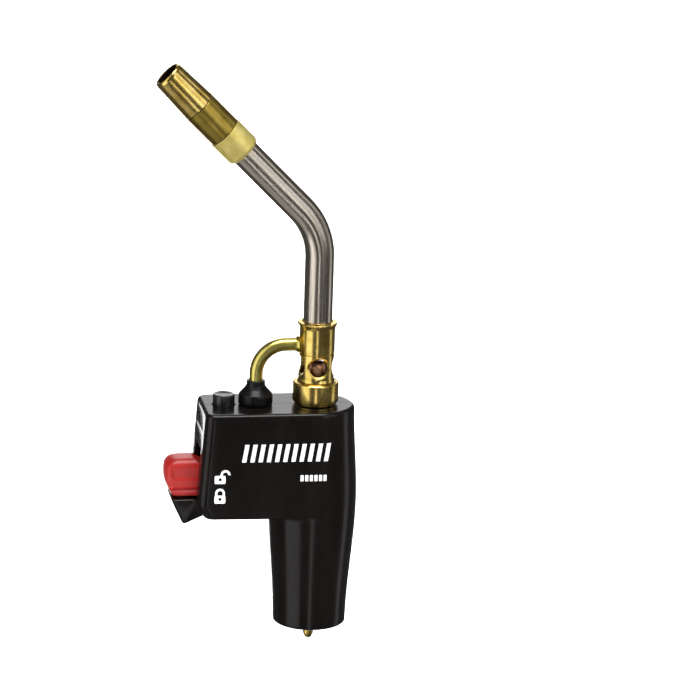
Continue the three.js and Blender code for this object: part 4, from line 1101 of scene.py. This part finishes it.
def ignition():
    """The brass ignition tube, which swells into a braze fillet where it enters the mixer."""
    corner = Vector((BOOT_X, 0, IGNITION_Z))
    end = Vector((0.9 - MIXER_R, 0, IGNITION_Z))
    route = bent_route([Vector((BOOT_X, 0, HEAD_TOP - WALL - 0.6)), corner, end], [14.0], 0.7)
    length = sum((q - p).length for (p, _), (q, _) in zip(route, route[1:]))
    braze_end = length - 1.1

    def radius(distance):
        near = smoothstep(braze_end - BRAZE_LENGTH, braze_end, distance)
        inside = distance > braze_end + 0.3
        return TUBE_R + (0 if inside else 1.1 * near ** 2)

    piece = swept_tube("bent_ignition_tube", route, radius, 2.375, TUBE_BRASS, 48)
    seat(piece, "housing", "brass", "ignition_tube")


# ================= geometry nodes =================

def new_tree(name, sizes):
    """A geometry tree with a named input for each size. Returns the tree and its input node."""
    tree = bpy.data.node_groups.new(name, "GeometryNodeTree")
    tree.interface.new_socket("Geometry", in_out="INPUT", socket_type="NodeSocketGeometry")
    for size in sizes:
        kind = "NodeSocketInt" if isinstance(sizes[size], int) else "NodeSocketFloat"
        tree.interface.new_socket(size, in_out="INPUT", socket_type=kind)
    tree.interface.new_socket("Geometry", in_out="OUTPUT", socket_type="NodeSocketGeometry")
    return tree, add(tree, "NodeGroupInput")


def grown(name, tree, mesh, sizes, place=None):
    """The plain mesh that a geometry tree grows from a starting mesh and its sizes."""
    holder = bpy.data.objects.new(name, mesh)
    bpy.context.scene.collection.objects.link(holder)
    modifier = holder.modifiers.new("grow", "NODES")
    modifier.node_group = tree
    for item in tree.interface.items_tree:
        if item.in_out == "INPUT" and item.name in sizes:
            modifier[item.identifier] = sizes[item.name]
    graph = bpy.context.evaluated_depsgraph_get()
    result = bpy.data.meshes.new_from_object(holder.evaluated_get(graph))
    holder.modifiers.remove(modifier)
    bpy.data.objects.remove(holder)
    if place is not None:
        result.transform(place)
    return result


def coil_tree():
    """A helical spring: a spiral swept with round wire, its ends closed."""
    sizes = {"Radius": 0.0, "Length": 0.0, "Turns": 0.0, "Wire": 0.0}
    tree, given = new_tree("helical_spring", sizes)
    spiral = add(tree, "GeometryNodeCurveSpiral", {
        "Resolution": 28, "Rotations": given.outputs["Turns"], "Start Radius": given.outputs["Radius"],
        "End Radius": given.outputs["Radius"], "Height": given.outputs["Length"],
    })
    wire = add(tree, "GeometryNodeCurvePrimitiveCircle", {"Resolution": 10, "Radius": given.outputs["Wire"]})
    swept = add(tree, "GeometryNodeCurveToMesh", {
        "Curve": spiral.outputs["Curve"], "Profile Curve": wire.outputs["Curve"], "Fill Caps": True,
    })
    real = add(tree, "GeometryNodeRealizeInstances", {"Geometry": swept.outputs["Mesh"]})
    dressed = add(tree, "GeometryNodeSetMaterial", {"Geometry": real.outputs["Geometry"], "Material": SPRING})
    add(tree, "NodeGroupOutput", {"Geometry": dressed.outputs["Geometry"]})
    return tree


def springs():
    """The four coil springs. Three of them are given meshes of their own."""
    tree = coil_tree()
    plans = [
        ("trigger_return_spring", "trigger_spring", 3.4, 0.4, 11.15, 5.0, along_x(-39.55, -5, 68)),
        ("valve_return_spring", "valve_spring", 2.45, 0.3, 5.6, 3.0, along_x(-9.05, 7, 80)),
        ("button_return_spring", "run_lock_spring", 4.2, 0.3, 6.0, 3.5,
         Matrix.Translation((BUTTON_X, 0, 98.45))),
        ("diaphragm_spring", "regulator_spring", 7.4, 0.6, 7.95, 4.0, Matrix.Translation((0, 0, 39.4))),
    ]
    made = {}
    for name, node, outer, wire, length, turns, place in plans:
        sizes = {
            "Radius": (outer - wire) * MM, "Length": (length - 2 * wire) * MM,
            "Turns": turns, "Wire": wire * MM,
        }
        spot = place @ Matrix.Translation((0, 0, wire))
        spot.translation = spot.translation * MM
        mesh = grown(name, tree, bpy.data.meshes.new(name), sizes, spot)
        made[node] = seat(finish_mesh(name, mesh, SPRING), "housing", "spring_steel", node)
    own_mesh(made["trigger_spring"])
    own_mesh(made["valve_spring"])
    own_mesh(made["run_lock_spring"])


def screw_tree():
    """A pan-head screw with a cross recess, set on every point of the starting mesh."""
    sizes = {"Head radius": 0.0, "Head height": 0.0, "Recess": 0.0, "Shank radius": 0.0, "Shank length": 0.0}
    tree, given = new_tree("cross_recess_screw", sizes)
    crown_r = add(tree, "ShaderNodeMath", {0: given.outputs["Head radius"], 1: 0.72}, operation="MULTIPLY")
    crown = add(tree, "GeometryNodeMeshCone", {
        "Vertices": 40, "Radius Top": crown_r.outputs[0], "Radius Bottom": given.outputs["Head radius"],
        "Depth": given.outputs["Head height"],
    })
    span = add(tree, "ShaderNodeMath", {0: given.outputs["Head radius"], 1: 1.15}, operation="MULTIPLY")
    deep = add(tree, "ShaderNodeMath", {0: given.outputs["Recess"], 1: 3.2}, operation="MULTIPLY")
    top = add(tree, "ShaderNodeCombineXYZ", {"Z": given.outputs["Head height"]})
    carved = crown.outputs["Mesh"]
    for x, y in ((span.outputs[0], given.outputs["Recess"]), (given.outputs["Recess"], span.outputs[0])):
        size = add(tree, "ShaderNodeCombineXYZ", {"X": x, "Y": y, "Z": deep.outputs[0]})
        bar = add(tree, "GeometryNodeMeshCube", {"Size": size.outputs["Vector"]}).outputs["Mesh"]
        lifted = add(tree, "GeometryNodeTransform", {"Geometry": bar, "Translation": top.outputs["Vector"]})
        cut = add(tree, "GeometryNodeMeshBoolean", {"Mesh 1": carved, "Mesh 2": lifted.outputs["Geometry"]})
        carved = cut.outputs["Mesh"]
    shank = add(tree, "GeometryNodeMeshCylinder", {
        "Vertices": 24, "Radius": given.outputs["Shank radius"], "Depth": given.outputs["Shank length"],
    })
    down = add(tree, "ShaderNodeMath", {0: given.outputs["Shank length"], 1: -0.5}, operation="MULTIPLY")
    below = add(tree, "ShaderNodeCombineXYZ", {"Z": down.outputs[0]})
    hung = add(tree, "GeometryNodeTransform", {
        "Geometry": shank.outputs["Mesh"], "Translation": below.outputs["Vector"],
    })
    whole = add(tree, "GeometryNodeMeshBoolean", operation="UNION")
    tree.links.new(hung.outputs["Geometry"], whole.inputs["Mesh 2"])
    tree.links.new(carved, whole.inputs["Mesh 2"])
    facing = add(tree, "GeometryNodeTransform", {
        "Geometry": whole.outputs["Mesh"], "Rotation": (-math.pi / 2, 0, math.radians(20)),
    })
    placed = add(tree, "GeometryNodeInstanceOnPoints", {
        "Points": given.outputs["Geometry"], "Instance": facing.outputs["Geometry"],
    })
    real = add(tree, "GeometryNodeRealizeInstances", {"Geometry": placed.outputs["Instances"]})
    dressed = add(tree, "GeometryNodeSetMaterial", {"Geometry": real.outputs["Geometry"], "Material": ZINC})
    add(tree, "NodeGroupOutput", {"Geometry": dressed.outputs["Geometry"]})
    return tree


def screws():
    points = bpy.data.meshes.new("screw_places")
    middle = Vector((0, SCREW_HEAD_HEIGHT / 2, 0))
    points.from_pydata([(screw_place(node) + middle) * MM for node in SCREWS], [], [])
    sizes = {
        "Head radius": SCREW_HEAD_R * MM, "Head height": SCREW_HEAD_HEIGHT * MM, "Recess": 0.9 * MM,
        "Shank radius": SHANK_R * MM, "Shank length": 20 * MM,
    }
    mesh = grown("housing_screws", screw_tree(), points, sizes)
    seat(finish_mesh("housing_screws", mesh, ZINC), "housing", "zinc_steel", *SCREWS)


# ================= printed marks =================

INK_LIFT = 0.05
INK_THICK = 0.03


def circle(x, z, radius, steps=40, start=0.0, end=2 * math.pi):
    return [(x + radius * math.cos(a), z + radius * math.sin(a)) for a in spread(start, end, steps)]


def printed(name, outlines):
    """Flat outlines in X and Z, with holes where one lies in another, laid on the head's near side."""
    curve = bpy.data.curves.new(name, "CURVE")
    curve.dimensions = "2D"
    curve.fill_mode = "BOTH"
    curve.extrude = INK_THICK / 2 * MM
    for outline in outlines:
        spline = curve.splines.new("POLY")
        spline.points.add(len(outline) - 1)
        for point, (x, z) in zip(spline.points, outline):
            point.co = (x * MM, z * MM, 0, 1)
        spline.use_cyclic_u = True
    holder = bpy.data.objects.new(name, curve)
    bpy.context.scene.collection.objects.link(holder)
    graph = bpy.context.evaluated_depsgraph_get()
    mesh = bpy.data.meshes.new_from_object(holder.evaluated_get(graph))
    bpy.data.objects.remove(holder)
    for vertex in mesh.vertices:
        x, z, out = vertex.co
        surface_y = side_of(x / MM, z / MM)
        vertex.co = (x, -(surface_y + INK_LIFT) * MM - out, z)
    return seat(finish_mesh(name, mesh, INK), "housing", "black_housing")


def box_outline(x0, x1, z0, z1, radius):
    return rounded([(x0, z0, radius), (x1, z0, radius), (x1, z1, radius), (x0, z1, radius)], 6)


def padlock(name, x, z, swing):
    """A plain padlock: a body with a round keyhole and a shackle, swung open by an angle."""
    body = box_outline(x - 2.6, x + 2.6, z - 3.4, z + 0.6, 0.8)
    keyhole = circle(x, z - 1.3, 0.75)
    leg, thick = 1.75, 1.1
    outer, inner = leg + thick / 2, leg - thick / 2
    arch_z = z + 1.7
    foot = z + 0.5
    free_end = foot + (1.6 if swing else 0)
    shackle = [(x + outer, free_end)] + circle(x, arch_z, outer, 20, 0, math.pi) + [(x - outer, foot)]
    shackle += [(x - inner, foot)] + circle(x, arch_z, inner, 20, math.pi, 0) + [(x + inner, free_end)]
    if swing:
        hinge = Vector((x - leg, foot))
        turn = Matrix.Rotation(swing, 2)
        shackle = [tuple(hinge + turn @ (Vector(p) - hinge) + Vector((2.2, 0))) for p in shackle]
    printed(name, [body, keyhole])
    printed(name + "_shackle", [shackle])


def marks():
    """Plain marks in place of the maker's: two padlocks, a row of slanted bars and a row of small squares."""
    padlock("open_lock_mark", -47.6, 79.0, math.radians(-18))
    padlock("closed_lock_mark", -47.5, 69.3, 0)
    bars = []
    for i in range(11):
        x = -37.4 + 3.9 * i
        bars.append([(x, 86), (x + 2, 86), (x + 3.4, 94.6), (x + 1.4, 94.6)])
    printed("slanted_bar_mark", bars)
    printed("small_squares_mark", [box_outline(x, x + 1.5, 76.4, 79.4, 0.3) for x in spread(-9.4, 1.6, 5)])


# ================= hidden pieces that stay as the frame has them =================

KEPT = {
    "regulator_body": CAST, "regulator_cap": CAST, "regulator_diaphragm": RUBBER, "outlet_pipe": BRASS,
    "valve_block": BRASS, "valve_stem": ZINC, "valve_seal": RUBBER, "valve_lever": ZINC, "lever_pin": SPRING,
    "feed_tube": BRASS, "flame_swirler": BRASS, "electrode_insulator": CERAMIC, "spark_electrode": SPRING,
    "igniter_lead": SILICONE, "piezo_body": ACETAL, "piezo_plunger": ACETAL, "trigger_carriage": ACETAL,
}


def dress_kept_nodes():
    for name, material in KEPT.items():
        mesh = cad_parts[name].data
        mesh.materials.clear()
        mesh.materials.append(material)


# ================= studio =================

CAMERA_AZIMUTH = math.radians(-10)
CAMERA_ELEVATION = math.radians(16.5)
CAMERA_DISTANCE = 1.7
CAMERA_ROLL = math.radians(1.8)
LENS = 183.6
AIM_RIGHT = 0.009767  # tangents of the small turns that frame the object
AIM_UP = 0.014179
LOOK_AT = Vector((0, 0, 0.11))


def camera():
    flat = Vector((math.sin(CAMERA_AZIMUTH), -math.cos(CAMERA_AZIMUTH), 0))
    back = flat * math.cos(CAMERA_ELEVATION) + Vector((0, 0, math.sin(CAMERA_ELEVATION)))
    forward = -back
    right = forward.cross(Vector((0, 0, 1))).normalized()
    up = right.cross(forward)
    rolled_right = right * math.cos(CAMERA_ROLL) + up * math.sin(CAMERA_ROLL)
    rolled_up = up * math.cos(CAMERA_ROLL) - right * math.sin(CAMERA_ROLL)
    forward = (forward + rolled_right * AIM_RIGHT + rolled_up * AIM_UP).normalized()
    up = rolled_up
    right = forward.cross(up).normalized()
    up = right.cross(forward)
    data = bpy.data.cameras.new("studio_camera")
    data.lens = LENS
    data.sensor_width = 36
    data.clip_end = 50
    made = bpy.data.objects.new("studio_camera", data)
    place = Matrix((right, up, -forward)).transposed().to_4x4()
    place.translation = LOOK_AT + back * CAMERA_DISTANCE
    made.matrix_world = place
    bpy.context.scene.collection.objects.link(made)
    bpy.context.scene.camera = made


STUDIO_CENTRE = Vector((0, 0, 0.15))


def softbox(name, azimuth, elevation, width, height, brightness, distance=1.6):
    """A soft light aimed at the object. Azimuth runs from -Y towards +X; brightness is its radiance."""
    turn, rise = math.radians(azimuth), math.radians(elevation)
    way = Vector((math.sin(turn) * math.cos(rise), -math.cos(turn) * math.cos(rise), math.sin(rise)))
    data = bpy.data.lights.new(name, "AREA")
    data.shape = "RECTANGLE"
    data.size = width
    data.size_y = height
    data.energy = brightness * math.pi * width * height
    made = bpy.data.objects.new(name, data)
    made.location = STUDIO_CENTRE + way * distance
    made.rotation_euler = way.to_track_quat("Z", "Y").to_euler()
    bpy.context.scene.collection.objects.link(made)
    made.visible_camera = False


COVE_R = 8.0
COVE_FLOOR = -0.06
COVE_HEIGHT = 12.0
COVE_BEND_R = 2.0


def cove():
    """A white floor that curves up into a white wall all round. Both glow, and no reflection shows them."""
    paper = studio_paper()
    flat_r = COVE_R - COVE_BEND_R
    floor_line = [(0.0, COVE_FLOOR), (flat_r, COVE_FLOOR)]
    wall_line = [(flat_r, COVE_FLOOR)]
    for angle in spread(0, math.pi / 2, 8)[1:]:
        rise = COVE_BEND_R - COVE_BEND_R * math.cos(angle)
        wall_line.append((flat_r + COVE_BEND_R * math.sin(angle), COVE_FLOOR + rise))
    wall_line += [(COVE_R, COVE_HEIGHT)]
    for name, line, lights_pieces in (("studio_floor", floor_line, True), ("studio_wall", wall_line, False)):
        work = bmesh.new()
        corners = [work.verts.new((r, 0, z)) for r, z in line]
        edges = [work.edges.new(pair) for pair in zip(corners, corners[1:])]
        bmesh.ops.spin(work, geom=corners + edges, axis=(0, 0, 1), steps=64, angle=2 * math.pi)
        bmesh.ops.remove_doubles(work, verts=work.verts, dist=1e-5)
        mesh = bpy.data.meshes.new(name)
        work.to_mesh(mesh)
        work.free()
        mesh.shade_smooth()
        mesh.materials.append(paper)
        sheet = bpy.data.objects.new(name, mesh)
        bpy.context.scene.collection.objects.link(sheet)
        sheet.visible_glossy = False
        sheet.visible_shadow = False
        sheet.visible_diffuse = lights_pieces


def studio():
    world = bpy.data.worlds.new("dim_studio")
    bpy.context.scene.world = world
    world.use_nodes = True
    world.node_tree.nodes["Background"].inputs["Color"].default_value = (1, 1, 1, 1)
    world.node_tree.nodes["Background"].inputs["Strength"].default_value = 0.08
    cove()
    softbox("left_wall", -61, 5, 1.3, 2.8, 1.5)
    softbox("lens_strip", -7, -24, 0.12, 1.0, 3.0)
    softbox("low_left_panel", -55, -55, 1.2, 0.8, 0.4)
    softbox("right_panel", 33, 24, 0.9, 1.7, 0.9)
    softbox("inner_strip", 22, 16, 0.09, 1.4, 3.0, 1.45)
    softbox("outer_strip", 52, 22, 0.12, 1.4, 2.4, 1.45)
    softbox("right_wall", 92, 5, 0.4, 2.8, 1.0)
    softbox("top_light", -10, 78, 1.1, 0.8, 12.0)
    softbox("back_panel", 172, 20, 0.8, 1.4, 1.7)
    softbox("back_low_panel", 176, -22, 0.8, 1.0, 4.5)
    bpy.context.scene.view_settings.view_transform = "Standard"


camera()
housing()
trigger()
collar()
tip_ring()
tip_sleeve()
tip_barrel()
boot()
button()
jet()
nipple()
neck_seal()
threaded_socket()
mixer()
burner()
ignition()
springs()
screws()
marks()
dress_kept_nodes()
studio()
